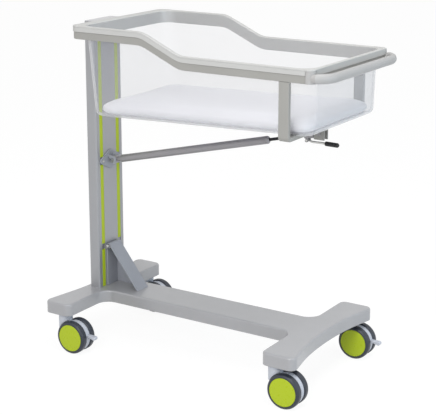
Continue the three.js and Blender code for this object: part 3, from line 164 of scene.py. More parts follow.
class TubSizes(bpy.types.PropertyGroup):
    """Clear tub and the mattress in it."""

    wall: length("Wall", 4, "Thickness of the clear wall")
    corner_radius: length("Corner radius", 40, "Upright corners")
    side_taper: length("Side taper", 11, "Each side from the top to the floor")
    back_taper: length("Back taper", 20, "Column end from the top to the floor")
    front_taper: length("Front taper", 2, "Handle end from the top to the floor")
    side_margin: length("Side margin", 14, "Rim's outer edge to the tub, at the sides")
    back_margin: length("Back margin", 31, "Rim's outer edge to the tub, at the column")
    front_margin: length("Front margin", 15, "Rim's outer edge to the tub, at the handle")
    floor_radius: length("Floor radius", 18, "Round between wall and floor")
    floor_slope: angle("Floor slope", 1.75, "Fall of the tub's floor towards the column")
    top_drop: length("Top drop", 3, "Tub's edge under the top of the rim")
    pad_voxel: length("Pad voxel", 6, "Mesh size of the simulated mattress")
    pad_shrink: length("Pad shrink", 3, "How much smaller the mattress starts before it fills out")
    pad_travel: length("Pad travel", 6, "Most that a point of the cover may move while it fills out")


class SpringSizes(bpy.types.PropertyGroup):
    """Gas spring with its rod."""

    cylinder_diameter: length("Cylinder diameter", 23, "Outside of the cylinder")
    cylinder_wall: length("Cylinder wall", 2, "Thickness of the cylinder")
    cylinder_bottom: length("Cylinder bottom", 12, "Thickness of its closed end")
    cylinder_round: length("Cylinder round", 3, "Edge of its closed end")
    cylinder_start: length("Cylinder start", 26, "Pivot to the cylinder")
    cylinder_end: length("Cylinder end", 553, "Pivot to the cylinder's open end")
    eye_diameter: length("Eye diameter", 24, "Eye on the pivot pin")
    eye_width: length("Eye width", 18, "Along the pivot pin")
    eye_bore: length("Eye bore", 9, "Hole for the pivot pin")
    neck_diameter: length("Neck diameter", 14, "Between the eye and the cylinder")
    neck_sink: length("Neck sink", 2, "How far the neck runs into the eye, and half as far into the cylinder")
    gland_length: length("Gland length", 9, "Tapered collar that the rod slides in")
    gland_shoulder: length("Gland shoulder", 3, "Straight part of that collar")
    rod_diameter: length("Rod diameter", 9, "Sliding rod")
    rod_gap: length("Rod gap", 0.5, "Round the rod in its collar")
    rod_inside: length("Rod inside", 200, "Length of the rod in the cylinder")
    rod_end: length("Rod end", 676.2, "Pivot to the release head")


class CasterSizes(bpy.types.PropertyGroup):
    """Twin-wheel casters."""

    trail: length("Trail", 38, "Swivel axis to the axle")
    wheel_diameter: length("Wheel diameter", 100, "Outside of a tyre")
    wheel_width: length("Wheel width", 22, "One wheel of the pair")
    wheel_bore: length("Wheel bore", 11, "Hole for the axle")
    wheel_gap: length("Wheel gap", 0.5, "Between the shield and a wheel")
    wheel_room: length("Wheel room", 1.6, "Round a tyre in the neck")
    tread_round: length("Tread round", 8, "Outer edge of a tyre")
    tread_shoulder: length("Tread shoulder", 5, "Inner edge of a tyre")
    disc_diameter: length("Disc diameter", 82, "Coloured disc in the wheel")
    disc_thickness: length("Disc thickness", 4, "How deep the disc is let in")
    disc_crown: length("Disc crown", 0.8, "Rise of the disc's middle")
    disc_round: length("Disc round", 1.6, "Edge of the disc")
    hood_diameter: length("Hood diameter", 94, "Shield between the two wheels")
    hood_width: length("Hood width", 17, "Between the two wheels")
    hood_round: length("Hood round", 2, "Edges of the shield")
    hood_line: length("Hood line", 0.6, "Depth of the line round the shield, and half its width")
    neck_diameter: length("Neck diameter", 42, "Round the swivel")
    neck_depth: length("Neck depth", 45, "From the base down")


class FinishColours(bpy.types.PropertyGroup):
    """Colours of the real materials."""

    cover: colour("Cover", "#A6A6A9", "Moulded base cover")
    chassis: colour("Chassis", "#8D8F92", "Primed steel pan under the cover")
    column: colour("Column", "#A6A7AA", "Anodised column")
    lime: colour("Lime", "#B5C824", "Slot strips and wheel discs")
    bracket: colour("Bracket", "#9DA0A8", "Painted brackets")
    steel: colour("Steel", "#C9C9C6", "Plated pins, screws and lever")
    frame: colour("Frame", "#A2A19D", "Painted bars and hoop")
    rim: colour("Rim", "#C5C5C3", "Moulded rim")
    handle: colour("Handle", "#B2B1B0", "Push handle and posts")
    tub: colour("Tub", "#C9CAD0", "Clear tub")
    mattress: colour("Mattress", "#EDEDF2", "Coated cover of the mattress")
    cylinder: colour("Cylinder", "#989699", "Lacquered gas spring")
    rod: colour("Rod", "#2B2B2D", "Hardened rod")
    grip: colour("Grip", "#161618", "Lever's grip")
    tyre: colour("Tyre", "#2F343E", "Tyres")
    hood: colour("Hood", "#C6CAD4", "Caster hoods")


class StudioSettings(bpy.types.PropertyGroup):
    """Floor, lamps and camera."""

    floor: colour("Floor", "#FCFCFC", "Floor and background")
    bounce: colour("Bounce", "#ECECEC", "Light that the floor throws back at the object")
    veil: number("Veil", 1.06, "Brightness of the floor before its shadow is mixed in", min=0.0)
    shadow: number("Shadow", 0.14, "How much of the soft shadow shows on the floor", min=0.0, max=1.0)
    sky: number("Sky", 0.5, "Light from all round", min=0.0)
    overhead: number("Overhead", 26.0, "Power of the soft lamp over the object", min=0.0, unit="POWER")
    front: number("Front", 50.0, "Power of the soft lamp beside the camera", min=0.0, unit="POWER")
    side: number("Side", 19.0, "Power of the cool lamp beyond the handle", min=0.0, unit="POWER")
    camera_place: bpy.props.FloatVectorProperty(
        name="Camera place", description="Where the camera stands", default=(1.9573, -3.0665, 1.4962),
        subtype="TRANSLATION", unit="LENGTH"
    )
    camera_yaw: angle("Camera yaw", 32.58, "Turn to the left of looking along +Y")
    camera_pitch: angle("Camera pitch", 13.993, "Tilt below the horizon")
    camera_lens: number("Camera lens", 106.63, "Focal length in millimetres", min=1.0)
    camera_shift: number("Camera shift", -0.1, "Upright shift, as a share of the picture's width")


class BassinetSettings(bpy.types.PropertyGroup):
    """All settings of the bassinet."""

    base: bpy.props.PointerProperty(type=BaseSizes, name="Base")
    column: bpy.props.PointerProperty(type=ColumnSizes, name="Column")
    cradle: bpy.props.PointerProperty(type=CradleSizes, name="Cradle")
    tub: bpy.props.PointerProperty(type=TubSizes, name="Tub")
    spring: bpy.props.PointerProperty(type=SpringSizes, name="Gas spring")
    caster: bpy.props.PointerProperty(type=CasterSizes, name="Casters")
    colours: bpy.props.PointerProperty(type=FinishColours, name="Colours")
    studio: bpy.props.PointerProperty(type=StudioSettings, name="Studio")


# Finishes


WHITE = linear("#FFFFFF")
WAVE_BAND = 0.314  # width of a wave texture's band at a scale of 1
KNIT_PITCH = 0.0024  # loops of the mattress's cover, drawn as coarse as they need to show
FOLD_WIDTH = 0.111  # soft folds in that cover
RIPPLE_WIDTH = 0.0714  # ripples that forming leaves in the clear wall

# The finish of each slot that is one solid material: grain and depth in millimetres, mottle in metres,
# and values for the shader's own sockets
SURFACES = {
    # Moulded ABS under a satin lacquer: level faces turn pale as they mirror the room, and the 0.3 mm pits
    # of the mould's texture are drawn 1.4 mm wide
    "cover": dict(
        name="satin_lacquered_abs", paint="cover", grain=(1.4, 1.4, 1.4), depth=0.03, rough=(0.34, 0.46),
        IOR=1.52, Coat_Weight=0.7, Coat_Roughness=0.2
    ),
    # Pressed steel with a rolled grey primer: flat, slightly streaky along the beam
    "chassis": dict(
        name="primed_pressed_steel", paint="chassis", grain=(9, 2.5, 2.5), depth=0.06, rough=(0.5, 0.7),
        mottling=0.12
    ),
    # Extruded aluminium, matt anodised: fine upright die lines that stretch the highlights
    "column": dict(
        name="matt_anodised_extrusion", paint="column", grain=(0.9, 0.9, 160), depth=0.03, rough=(0.34, 0.5),
        mottling=0.03, Metallic=0.45
    ),
    # Extruded lime PVC pressed into the slot: smooth, half gloss, faint lines along its length
    "strip": dict(
        name="extruded_lime_pvc", paint="lime", grain=(1.2, 1.2, 90), depth=0.02, rough=(0.32, 0.42),
        mottling=0.02, Specular_IOR_Level=0.3
    ),
    # Injection-moulded lime ABS: smooth and glossy, with a trace of flow round the middle
    "hub": dict(
        name="glossy_moulded_lime_abs", paint="lime", grain=(6, 6, 6), depth=0.004, rough=(0.26, 0.32),
        mottle=0.03, mottling=0.01, Specular_IOR_Level=0.3
    ),
    # Folded steel with a blue-grey powder coat: orange peel about 1.8 mm wide
    "bracket": dict(
        name="blue_grey_powder_coat", paint="bracket", grain=(1.8, 1.8, 1.8), depth=0.05, rough=(0.38, 0.5),
        IOR=1.5
    ),
    # Turned and drawn steel, bright zinc plated: white metal with fine turning marks
    "steel": dict(
        name="bright_zinc_plate", paint="steel", grain=(0.6, 0.6, 0.6), depth=0.01, rough=(0.2, 0.34),
        mottling=0.04, Metallic=1.0
    ),
    # Flat steel bar with a warm grey powder coat: satin, orange peel about 2 mm wide
    "frame": dict(
        name="warm_grey_powder_coat", paint="frame", grain=(2, 2, 2), depth=0.05, rough=(0.4, 0.52), IOR=1.5
    ),
    # Moulded polyurethane edge: a smooth soft satin skin with wide faint clouds
    "rim": dict(
        name="moulded_polyurethane_edge", paint="rim", grain=(2.4, 2.4, 2.4), depth=0.03, rough=(0.44, 0.54),
        mottle=0.12, mottling=0.03
    ),
    # Integral-skin polyurethane over a steel core: smooth satin skin, slightly worn where it is held
    "handle": dict(
        name="integral_skin_polyurethane", paint="handle", grain=(1.6, 1.6, 1.6), depth=0.04,
        rough=(0.36, 0.5), mottle=0.1
    ),
    # Steel tube with a grey baked lacquer: smooth, with a slight orange peel
    "spring": dict(
        name="grey_baked_lacquer", paint="cylinder", grain=(2, 2, 2), depth=0.01, rough=(0.3, 0.42),
        mottling=0.04, Metallic=0.35
    ),
    # Ground steel rod, nitrided black: dark and smooth, with a fine grain from grinding
    "rod": dict(
        name="black_nitrided_steel", paint="rod", grain=(0.8, 0.8, 0.8), depth=0.01, rough=(0.22, 0.34),
        Metallic=0.7
    ),
    # Dipped black PVC: soft half gloss with a slight skin
    "grip": dict(name="dipped_black_pvc", paint="grip", grain=(2, 2, 2), depth=0.05, rough=(0.38, 0.55)),
    # Grey thermoplastic rubber: dull, with dust and scuffs that lighten it in patches
    "tyre": dict(
        name="grey_thermoplastic_rubber", paint="tyre", grain=(1.6, 1.6, 1.6), depth=0.05, rough=(0.32, 0.5),
        mottle=0.02, mottling=0.1
    ),
    # Moulded pale blue-grey nylon: satin, with a faint grain
    "hood": dict(
        name="moulded_pale_nylon", paint="hood", grain=(1.5, 1.5, 1.5), depth=0.04, rough=(0.36, 0.5),
        IOR=1.53
    ),
}
SURFACES["lever"] = SURFACES["steel"]
FINISHES = {}


def add_node(tree, kind, settings=None, **inputs):
    """A new node with its settings, and its inputs set to values or linked from other nodes' outputs."""
    node = tree.nodes.new(kind)
    for name, value in (settings or {}).items():
        setattr(node, name, value)
    for name, value in inputs.items():
        socket = node.inputs[int(name[1:])] if name[1:].isdigit() else node.inputs[name.replace("_", " ")]
        if isinstance(value, bpy.types.NodeSocket):
            tree.links.new(value, socket)
        else:
            socket.default_value = value
    return node


def new_material(name):
    """An empty node material with its Principled shader."""
    material = bpy.data.materials.new(name)
    material.use_nodes = True
    return material, material.node_tree, material.node_tree.nodes["Principled BSDF"]


def set_shader(tree, shader, linked, fixed):
    """Links what varies over the surface to the shader, and sets on its own sockets what stays the same."""
    for name, output in linked.items():
        tree.links.new(output, shader.inputs[name])
    for name, value in fixed.items():
        shader.inputs[name.replace("_", " ")].default_value = value


def seen_ray(tree):
    """One for what the camera, metal and glass see, nothing for the light that falls on the object."""
    path = add_node(tree, "ShaderNodeLightPath").outputs
    seen = path["Is Camera Ray"]
    for name in ("Is Glossy Ray", "Is Transmission Ray"):
        seen = add_node(
            tree, "ShaderNodeMath", {"operation": "MAXIMUM"}, _0=seen, _1=path[name]
        ).outputs["Value"]
    return seen


def shade(paint, share):
    """A colour made darker, or with a share over 1 lighter."""
    return (*(min(1.0, c * share) for c in paint[:3]), 1.0)


def surface(colours, name, paint, grain, depth, rough, mottle=0.08, mottling=0.06, **fixed):
    """A solid finish: a grain of (x, y, z) millimetres that lifts the surface by a depth in millimetres and
    varies the roughness between two values, with clouds of a slightly darker colour, a mottle wide."""
    material, tree, shader = new_material(name)
    paint = getattr(colours, paint)
    where = add_node(tree, "ShaderNodeTexCoord").outputs["Object"]
    spread = add_node(
        tree, "ShaderNodeMapping", Vector=where, Scale=[1000 / g for g in grain]
    ).outputs["Vector"]
    fine = add_node(
        tree, "ShaderNodeTexNoise", Vector=spread, Scale=1.0, Detail=3.0, Roughness=0.6
    ).outputs["Fac"]
    clouds = add_node(tree, "ShaderNodeTexNoise", Vector=where, Scale=1 / mottle, Detail=4.0).outputs["Fac"]
    tint = add_node(
        tree, "ShaderNodeMix", {"data_type": "RGBA"}, Factor=clouds,
        _6=shade(paint, 1 + mottling), _7=shade(paint, 1 - mottling)
    ).outputs[2]
    gloss = add_node(
        tree, "ShaderNodeMapRange", Value=fine, From_Min=0.3, From_Max=0.7, To_Min=rough[0], To_Max=rough[1]
    ).outputs["Result"]
    relief = add_node(
        tree, "ShaderNodeBump", Height=fine, Distance=depth / 1000, Strength=0.6
    ).outputs["Normal"]
    set_shader(tree, shader, {"Base Color": tint, "Roughness": gloss, "Normal": relief}, fixed)
    return material


def coated_fabric(paint):
    """Knitted polyester with a polyurethane coat: a soft white skin that light sinks into, with the knit
    showing faintly through it and a dull sheen at the edges. The 0.6 mm loops are drawn 2.4 mm apart."""
    material, tree, shader = new_material("coated_knit_mattress_cover")
    where = add_node(tree, "ShaderNodeTexCoord").outputs["Object"]
    rows, wales = (
        add_node(
            tree, "ShaderNodeTexWave", {"bands_direction": direction}, Vector=where,
            Scale=WAVE_BAND / KNIT_PITCH, Distortion=1.2
        ).outputs["Fac"]
        for direction in "XY"
    )
    knit = add_node(tree, "ShaderNodeMath", {"operation": "MULTIPLY"}, _0=rows, _1=wales).outputs["Value"]
    folds = add_node(
        tree, "ShaderNodeTexNoise", Vector=where, Scale=1 / FOLD_WIDTH, Detail=3.0, Distortion=0.6
    ).outputs["Fac"]
    height = add_node(
        tree, "ShaderNodeMath", {"operation": "MULTIPLY_ADD"}, _0=knit, _1=0.04, _2=folds
    ).outputs["Value"]
    relief = add_node(tree, "ShaderNodeBump", Height=height, Distance=0.006, Strength=0.5).outputs["Normal"]
    tint = add_node(
        tree, "ShaderNodeMix", {"data_type": "RGBA"}, Factor=folds,
        _6=shade(paint, 1.02), _7=shade(paint, 0.95)
    ).outputs[2]
    gloss = add_node(tree, "ShaderNodeMapRange", Value=knit, To_Min=0.62, To_Max=0.74).outputs["Result"]
    set_shader(
        tree, shader, {"Base Color": tint, "Roughness": gloss, "Normal": relief}, dict(
            Sheen_Weight=0.15, Sheen_Roughness=0.5, Subsurface_Weight=0.7, Subsurface_Radius=(1.0, 1.0, 1.0),
            Subsurface_Scale=0.03
        )
    )
    return material


def clear_acrylic(paint):
    """Clear acrylic, vacuum formed: most light goes straight through its thin wall, and forming leaves faint
    wide ripples. Towards the grazing edges the wall mirrors the room with the shader's own gloss, and its
    colour is also painted whiter and more opaque there as a painted reflection."""
    material, tree, shader = new_material("vacuum_formed_clear_acrylic")
    where = add_node(tree, "ShaderNodeTexCoord").outputs["Object"]
    facing = add_node(tree, "ShaderNodeLayerWeight", Blend=0.35).outputs["Facing"]
    # Painted reflection: towards the grazing edges the colour is mixed to white and the alpha rises, standing
    # in for the bright room mirrored there
    edge = add_node(tree, "ShaderNodeMapRange", Value=facing, From_Min=0.35, From_Max=0.88).outputs["Result"]
    body = add_node(tree, "ShaderNodeMapRange", Value=edge, To_Min=0.1, To_Max=0.92).outputs["Result"]
    tint = add_node(tree, "ShaderNodeMix", {"data_type": "RGBA"}, Factor=edge, _6=paint, _7=WHITE).outputs[2]
    ripple = add_node(
        tree, "ShaderNodeTexNoise", Vector=where, Scale=1 / RIPPLE_WIDTH, Detail=1.0
    ).outputs["Fac"]
    relief = add_node(tree, "ShaderNodeBump", Height=ripple, Distance=0.002, Strength=0.15).outputs["Normal"]
    set_shader(
        tree, shader, {"Alpha": body, "Base Color": tint, "Normal": relief}, dict(Roughness=0.06, IOR=1.49)
    )
    return material


def finish(slot):
    """The finish of one of the record's material slots, made once."""
    if slot not in FINISHES:
        colours = bpy.context.scene.bassinet.colours
        if slot == "tub":
            FINISHES[slot] = clear_acrylic(colours.tub)
        elif slot == "mattress":
            FINISHES[slot] = coated_fabric(colours.mattress)
        else:
            FINISHES[slot] = surface(colours, **SURFACES[slot])
    return FINISHES[slot]


# Shapes


def new_verts(made):
    """The vertices in what an operator made."""
    return [item for item in made if isinstance(item, bmesh.types.BMVert)]


def rounded(bm, geom, size, segments, affect="EDGES"):
    """Rounds edges, or corners of a flat face."""
    bmesh.ops.bevel(
        bm, geom=geom, offset=size, offset_type="OFFSET", segments=segments, profile=0.5, affect=affect,
        material=-1
    )


def oblong(x0, x1, y0, y1, back=0.0, front=0.0):
    """Plan of an oblong, with the radius of its corners towards the column and towards the handle."""
    return [(x1, y0, front), (x1, y1, front), (x0, y1, back), (x0, y0, back)]


def rounded_face(corners, z, segments=8):
    """A new bmesh with one level face through corners (x, y, radius), each rounded by its radius."""
    bm = bmesh.new()
    flat = [Vector(corner[:2]) for corner in corners]
    verts = [bm.verts.new((*point, z)) for point in flat]
    bm.faces.new(verts)
    for i, (vert, (_, _, radius)) in enumerate(zip(verts, corners)):
        if radius:
            before = flat[i - 1] - flat[i]
            after = flat[(i + 1) % len(flat)] - flat[i]
            rounded(bm, [vert], radius / math.tan(before.angle(after) / 2), segments, "VERTICES")
    bm.faces.ensure_lookup_table()
    return bm


def upright(corners, z0, z1, segments=8):
    """A solid with a rounded plan between two heights."""
    bm = rounded_face(corners, z0, segments)
    made = bmesh.ops.extrude_face_region(bm, geom=bm.faces[:])["geom"]
    bmesh.ops.translate(bm, verts=new_verts(made), vec=UP * (z1 - z0))
    bmesh.ops.recalc_face_normals(bm, faces=bm.faces)
    return bm


def turned(profile, centre, axis, steps=64):
    """A solid spun about an axis from a profile of (radius, place along the axis)."""
    bm = bmesh.new()
    axis = axis.normalized()
    side = axis.orthogonal().normalized()
    verts = [bm.verts.new(centre + side * radius + axis * along) for radius, along in profile]
    edges = [bm.edges.new(pair) for pair in zip(verts, verts[1:])]
    bmesh.ops.spin(
        bm, geom=verts + edges, cent=centre, axis=axis, angle=2 * math.pi, steps=steps, use_merge=True
    )
    bmesh.ops.remove_doubles(bm, verts=bm.verts, dist=SAME)
    bmesh.ops.recalc_face_normals(bm, faces=bm.faces)
    return bm


def round_ring(bm, centre, axis, radius, along, size, segments=5):
    """Rounds the circular edge of a turned solid at a radius and a place along its axis."""
    axis = axis.normalized()

    def on_ring(vert):
        """Whether a vertex lies on that edge."""
        arm = vert.co - centre
        reach = arm.dot(axis)
        return abs(reach - along) < NEAR and abs((arm - axis * reach).length - radius) < NEAR

    rounded(bm, [edge for edge in bm.edges if all(map(on_ring, edge.verts))], size, segments)


def round_level(bm, z, size, segments=4):
    """Rounds the sharp edges at a height."""
    sharp = 0.5  # radians between two faces
    level = [edge for edge in bm.edges if all(abs(vert.co.z - z) < NEAR for vert in edge.verts)]
    rounded(bm, [edge for edge in level if edge.calc_face_angle(0.0) > sharp], size, segments)


def open_level(bm, z):
    """Takes away the level face at a height."""
    level = [face for face in bm.faces if all(abs(vert.co.z - z) < NEAR for vert in face.verts)]
    bmesh.ops.delete(bm, geom=level, context="FACES_ONLY")


def swept(bm, moves):
    """Carries the one face of a bmesh along straight runs (vectors) and bends (centre, axis, turn, steps)."""
    ring = list(bm.faces[0].edges)
    for move in moves:
        if isinstance(move, Vector):
            made = bmesh.ops.extrude_edge_only(bm, edges=ring)["geom"]
            bmesh.ops.translate(bm, verts=new_verts(made), vec=move)
        else:
            centre, axis, turn, steps = move
            corners = list(dict.fromkeys(vert for edge in ring for vert in edge.verts))
            made = bmesh.ops.spin(
                bm, geom=corners + ring, cent=centre, axis=axis, angle=turn, steps=steps
            )["geom_last"]
        ends = dict.fromkeys(new_verts(made))
        ring = [edge for vert in ends for edge in vert.link_edges if all(end in ends for end in edge.verts)]
        ring = list(dict.fromkeys(ring))
    bmesh.ops.contextual_create(bm, geom=ring)
    bmesh.ops.recalc_face_normals(bm, faces=bm.faces)
    return bm


def slice_at(bm, place, normal, clear=False):
    """Cuts new edges where a plane meets the mesh, and can clear what lies behind it."""
    bmesh.ops.bisect_plane(
        bm, geom=bm.verts[:] + bm.edges[:] + bm.faces[:], plane_co=place, plane_no=normal, clear_inner=clear
    )


def carved(bm, tool, operation):
    """A solid with another added to it or taken from it."""
    holders = []
    for part in (bm, tool):
        mesh = bpy.data.meshes.new("carving")
        part.to_mesh(mesh)
        part.free()
        holders.append(bpy.data.objects.new("carving", mesh))
        bpy.context.scene.collection.objects.link(holders[-1])
    cutter = holders[0].modifiers.new("carve", "BOOLEAN")
    cutter.operation, cutter.solver, cutter.object = operation, "EXACT", holders[1]
    result = bpy.data.meshes.new_from_object(holders[0].evaluated_get(bpy.context.evaluated_depsgraph_get()))
    made = bmesh.new()
    made.from_mesh(result)
    for mesh in (result, *(holder.data for holder in holders)):
        bpy.data.meshes.remove(mesh)
    return made


def merged_copy(node):
    """A CAD node's mesh with its loose triangles merged into whole faces."""
    bm = bmesh.new()
    bm.from_mesh(frame["nodes"][node].data)
    bmesh.ops.remove_doubles(bm, verts=bm.verts, dist=SAME)
    bmesh.ops.dissolve_limit(bm, angle_limit=math.radians(0.5), verts=bm.verts, edges=bm.edges)
    return bm


def piece(name, bm, body, slot, nodes, edge=MOULDED_EDGE, segments=2, sharp=32, wall=0.0):
    """A finished piece that rides on a body, takes its finish from a slot and stands for CAD nodes. Edges
    sharper than an angle in degrees are rounded, and a wall gives an open shape its thickness."""
    mesh = bpy.data.meshes.new(name)
    bm.to_mesh(mesh)
    bm.free()
    mesh.shade_smooth()
    mesh.set_sharp_from_angle(angle=math.radians(sharp))
    mesh.materials.append(finish(slot))
    made = bpy.data.objects.new(name, mesh)
    bpy.context.scene.collection.objects.link(made)
    if wall:
        shell = made.modifiers.new("wall", "SOLIDIFY")
        shell.thickness, shell.offset, shell.use_even_offset = wall, -1.0, True
    if edge:
        soft = made.modifiers.new("edge_round", "BEVEL")
        soft.width, soft.segments, soft.limit_method = edge, segments, "ANGLE"
        soft.angle_limit, soft.harden_normals = math.radians(sharp), True
    even = made.modifiers.new("even_shading", "WEIGHTED_NORMAL")
    even.keep_sharp = True
    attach(made, body)
    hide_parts(*nodes)
    return made


def copied(name, node, body, slot, edge, segments=3, sharp=40):
    """A piece with the shape of its CAD node."""
    piece(name, merged_copy(node), body, slot, [node], edge=edge, segments=segments, sharp=sharp)


def oval_face(middle, heading, depth, height, segments=40):
    """A new bmesh with one upright oval face that looks along a heading in plan."""
    bm = bmesh.new()
    bmesh.ops.create_circle(bm, cap_ends=True, segments=segments, radius=0.5)
    place = (
        Matrix.Translation(middle) @ Matrix.Rotation(heading, 4, "Z") @ Matrix.Rotation(math.pi / 2, 4, "Y")
        @ Matrix.Diagonal((height, depth, 1.0, 1.0))
    )
    bmesh.ops.transform(bm, matrix=place, verts=bm.verts)
    bm.faces.ensure_lookup_table()
    return bm


def handle_slant():
    """Angle by which the handle's ends lean inwards from its middle's straight run, counted round a bend."""
    sizes = bpy.context.scene.bassinet.cradle
    low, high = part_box("push_handle")
    return math.acos((low.x - (high.x - sizes.handle_depth / 2 - sizes.handle_bend)) / sizes.handle_bend)


def handle_end():
    """Distance of the middle of the handle's ends from the middle of the bassinet."""
    sizes = bpy.context.scene.bassinet.cradle
    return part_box("push_handle")[1].y - sizes.handle_depth / 2 / math.sin(handle_slant())


def rim_rise(x):
    """Height of the stepped rim above its low sides."""
    sizes = bpy.context.scene.bassinet.cradle
    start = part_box("rim_sides")[0].x + sizes.high_length

    def bend(t):
        """A ramp that starts at nothing with a soft bend."""
        knee = sizes.knee
        return 0.0 if t < -knee else t if t > knee else (t + knee) ** 2 / (4 * knee)

    fall = bend(x - start) - bend(x - start - sizes.slope_length)
    return sizes.step - fall * sizes.step / sizes.slope_length


def slice_at_knees(bm, steps=6):
    """Cuts a rail across at the bends of the stepped rim."""
    sizes = bpy.context.scene.bassinet.cradle
    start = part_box("rim_sides")[0].x + sizes.high_length
    for knee in (start, start + sizes.slope_length):
        for share in range(-steps, steps + 1):
            slice_at(bm, (knee + sizes.knee * share / steps, 0, 0), ALONG)


def stepped(bm):
    """A level rail made to climb the step of the rim."""
    slice_at_knees(bm)
    for vert in bm.verts:
        vert.co.z += rim_rise(vert.co.x)
    return bm


# Operators


class BASSINET_OT_stage(bpy.types.Operator):
    """Makes the floor, the lamps, the background and the camera"""

    bl_idname = "bassinet.stage"
    bl_label = "Studio"

    def execute(self, context):
        scene, studio = context.scene, context.scene.bassinet.studio
        scene.view_settings.view_transform = "Standard"

        bm = bmesh.new()
        bmesh.ops.create_grid(bm, x_segments=1, y_segments=1, size=9.0)
        mesh = bpy.data.meshes.new("floor")
        bm.to_mesh(mesh)
        bm.free()
        # Seamless matt paper: white where the camera, metal and glass see it, apart from the soft shadow
        paper, tree, shader = new_material("matt_white_paper")
        fixed = {"Base Color": studio.bounce, "Roughness": 1.0, "Specular IOR Level": 0.0}
        set_shader(tree, shader, {}, fixed)
        veil = add_node(tree, "ShaderNodeEmission", Strength=studio.veil).outputs[0]
        white = add_node(tree, "ShaderNodeBsdfDiffuse", Color=studio.floor).outputs[0]
        shown = add_node(tree, "ShaderNodeMixShader", Fac=studio.shadow, _1=veil, _2=white).outputs[0]
        paths = add_node(tree, "ShaderNodeMixShader", Fac=seen_ray(tree), _1=shader.outputs[0], _2=shown)
        tree.links.new(paths.outputs[0], tree.nodes["Material Output"].inputs["Surface"])
        mesh.materials.append(paper)
        floor = bpy.data.objects.new("floor", mesh)
        scene.collection.objects.link(floor)

        world = bpy.data.worlds.new("studio")
        scene.world = world
        world.use_nodes = True
        tree = world.node_tree
        sky = tree.nodes["Background"]
        level = add_node(tree, "ShaderNodeMapRange", Value=seen_ray(tree), To_Min=studio.sky, To_Max=1.0)
        sky.inputs["Color"].default_value = WHITE
        tree.links.new(level.outputs["Result"], sky.inputs["Strength"])

        lit = Vector((0, 0, 0.6))
        lamps = (
            ("overhead_lamp", (1.0, -0.3, 3.2), 1.6, studio.overhead, (1.0, 1.0, 1.0)),
            ("front_lamp", (0.7, -2.9, 2.3), 1.8, studio.front, (1.0, 1.0, 1.0)),
            ("side_lamp", (3.2, -0.2, 1.1), 1.8, studio.side, (0.62, 0.84, 1.0)),
        )
        for name, place, size, power, tint in lamps:
            data = bpy.data.lights.new(name, "AREA")
            data.shape, data.size, data.energy, data.color = "DISK", size, power, tint
            lamp = bpy.data.objects.new(name, data)
            lamp.location = place
            lamp.rotation_euler = (lit - Vector(place)).to_track_quat("-Z", "Y").to_euler()
            scene.collection.objects.link(lamp)

        data = bpy.data.cameras.new("camera")
        data.lens, data.sensor_width, data.shift_y = studio.camera_lens, 36.0, studio.camera_shift
        data.clip_start, data.clip_end = 0.05, 100.0
        camera = bpy.data.objects.new("camera", data)
        camera.location = studio.camera_place
        camera.rotation_euler = (math.pi / 2 - studio.camera_pitch, 0.0, studio.camera_yaw)
        scene.collection.objects.link(camera)
        scene.camera = camera
        return {"FINISHED"}


class BASSINET_OT_base(bpy.types.Operator):
    """Makes the moulded cover of the base and finishes the steel pan under it"""

    bl_idname = "bassinet.base"
    bl_label = "Base"

    def execute(self, context):
        sizes = context.scene.bassinet.base
        low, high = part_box("base_cover")
        half, beam = high.y, sizes.beam_width / 2
        tip, fillet = sizes.tip_radius, sizes.fillet_radius
        back_inner, front_inner = low.x + sizes.back_foot, high.x - sizes.front_foot

        def tip_loss(hollow):
            """How much shorter its rounded tips leave an edge with a hollow."""
            slant = math.atan2(hollow, half)
            return tip * ((1 + math.sin(slant)) / math.cos(slant) - 1)

        front, back = high.x + tip_loss(sizes.front_hollow), low.x - tip_loss(sizes.back_hollow)
        corners = [
            (front, -half, tip), (high.x - sizes.front_hollow, 0, sizes.hollow_radius), (front, half, tip),
            (front_inner, half, tip), (front_inner, beam, fillet), (back_inner, beam, fillet),
            (back_inner, half, tip), (back, half, tip), (low.x + sizes.back_hollow, 0, sizes.hollow_radius),
            (back, -half, tip), (back_inner, -half, tip), (back_inner, -beam, fillet),
            (front_inner, -beam, fillet), (front_inner, -half, tip),
        ]
        bm = upright(corners, low.z, high.z, segments=12)
        open_level(bm, low.z)
        round_level(bm, high.z, sizes.edge_radius, segments=6)
        piece("base_cover_shell", bm, "base", "cover", ["base_cover"], wall=sizes.wall)
        for slot in frame["nodes"]["base_chassis"].material_slots:
            slot.material = finish("chassis")
        return {"FINISHED"}


class BASSINET_OT_column(bpy.types.Operator):
    """Makes the column, its end cap and the lime strips in its slots"""

    bl_idname = "bassinet.column"
    bl_label = "Column"

    def execute(self, context):
        sizes = context.scene.bassinet.column
        low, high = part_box("column")
        corner = sizes.edge_radius
        face, floor = high.x, high.x - sizes.slot_depth
        outline = [(low.x, high.y, corner), (low.x, low.y, corner), (face, low.y, corner)]
        for middle in (-sizes.slot_spacing / 2, sizes.slot_spacing / 2):
            near, far = middle - sizes.slot_width / 2, middle + sizes.slot_width / 2
            outline += [(face, near, 0), (floor, near, 0), (floor, far, 0), (face, far, 0)]
        outline.append((face, high.y, corner))
        bm = upright(outline, low.z, high.z)
        piece("column_extrusion", bm, "base", "column", ["column"], edge=TURNED_EDGE)

        low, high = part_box("column_cap")
        bm = upright(oblong(low.x, high.x, low.y, high.y, corner, corner), low.z, high.z)
        round_level(bm, high.z, sizes.cap_round)
        piece("column_end_cap", bm, "base", "cover", ["column_cap"], edge=0)

        for side in ("left", "right"):
            for run in ("lower", "middle", "upper"):
                node = f"slot_strip_{side}_{run}"
                low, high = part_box(node)
                plan = oblong(low.x, high.x, low.y, high.y, 0, sizes.strip_round)
                bm = upright(plan, low.z, high.z, segments=4)
                piece(f"lime_strip_{side}_{run}", bm, "base", "strip", [node], edge=FINE_EDGE)
        return {"FINISHED"}


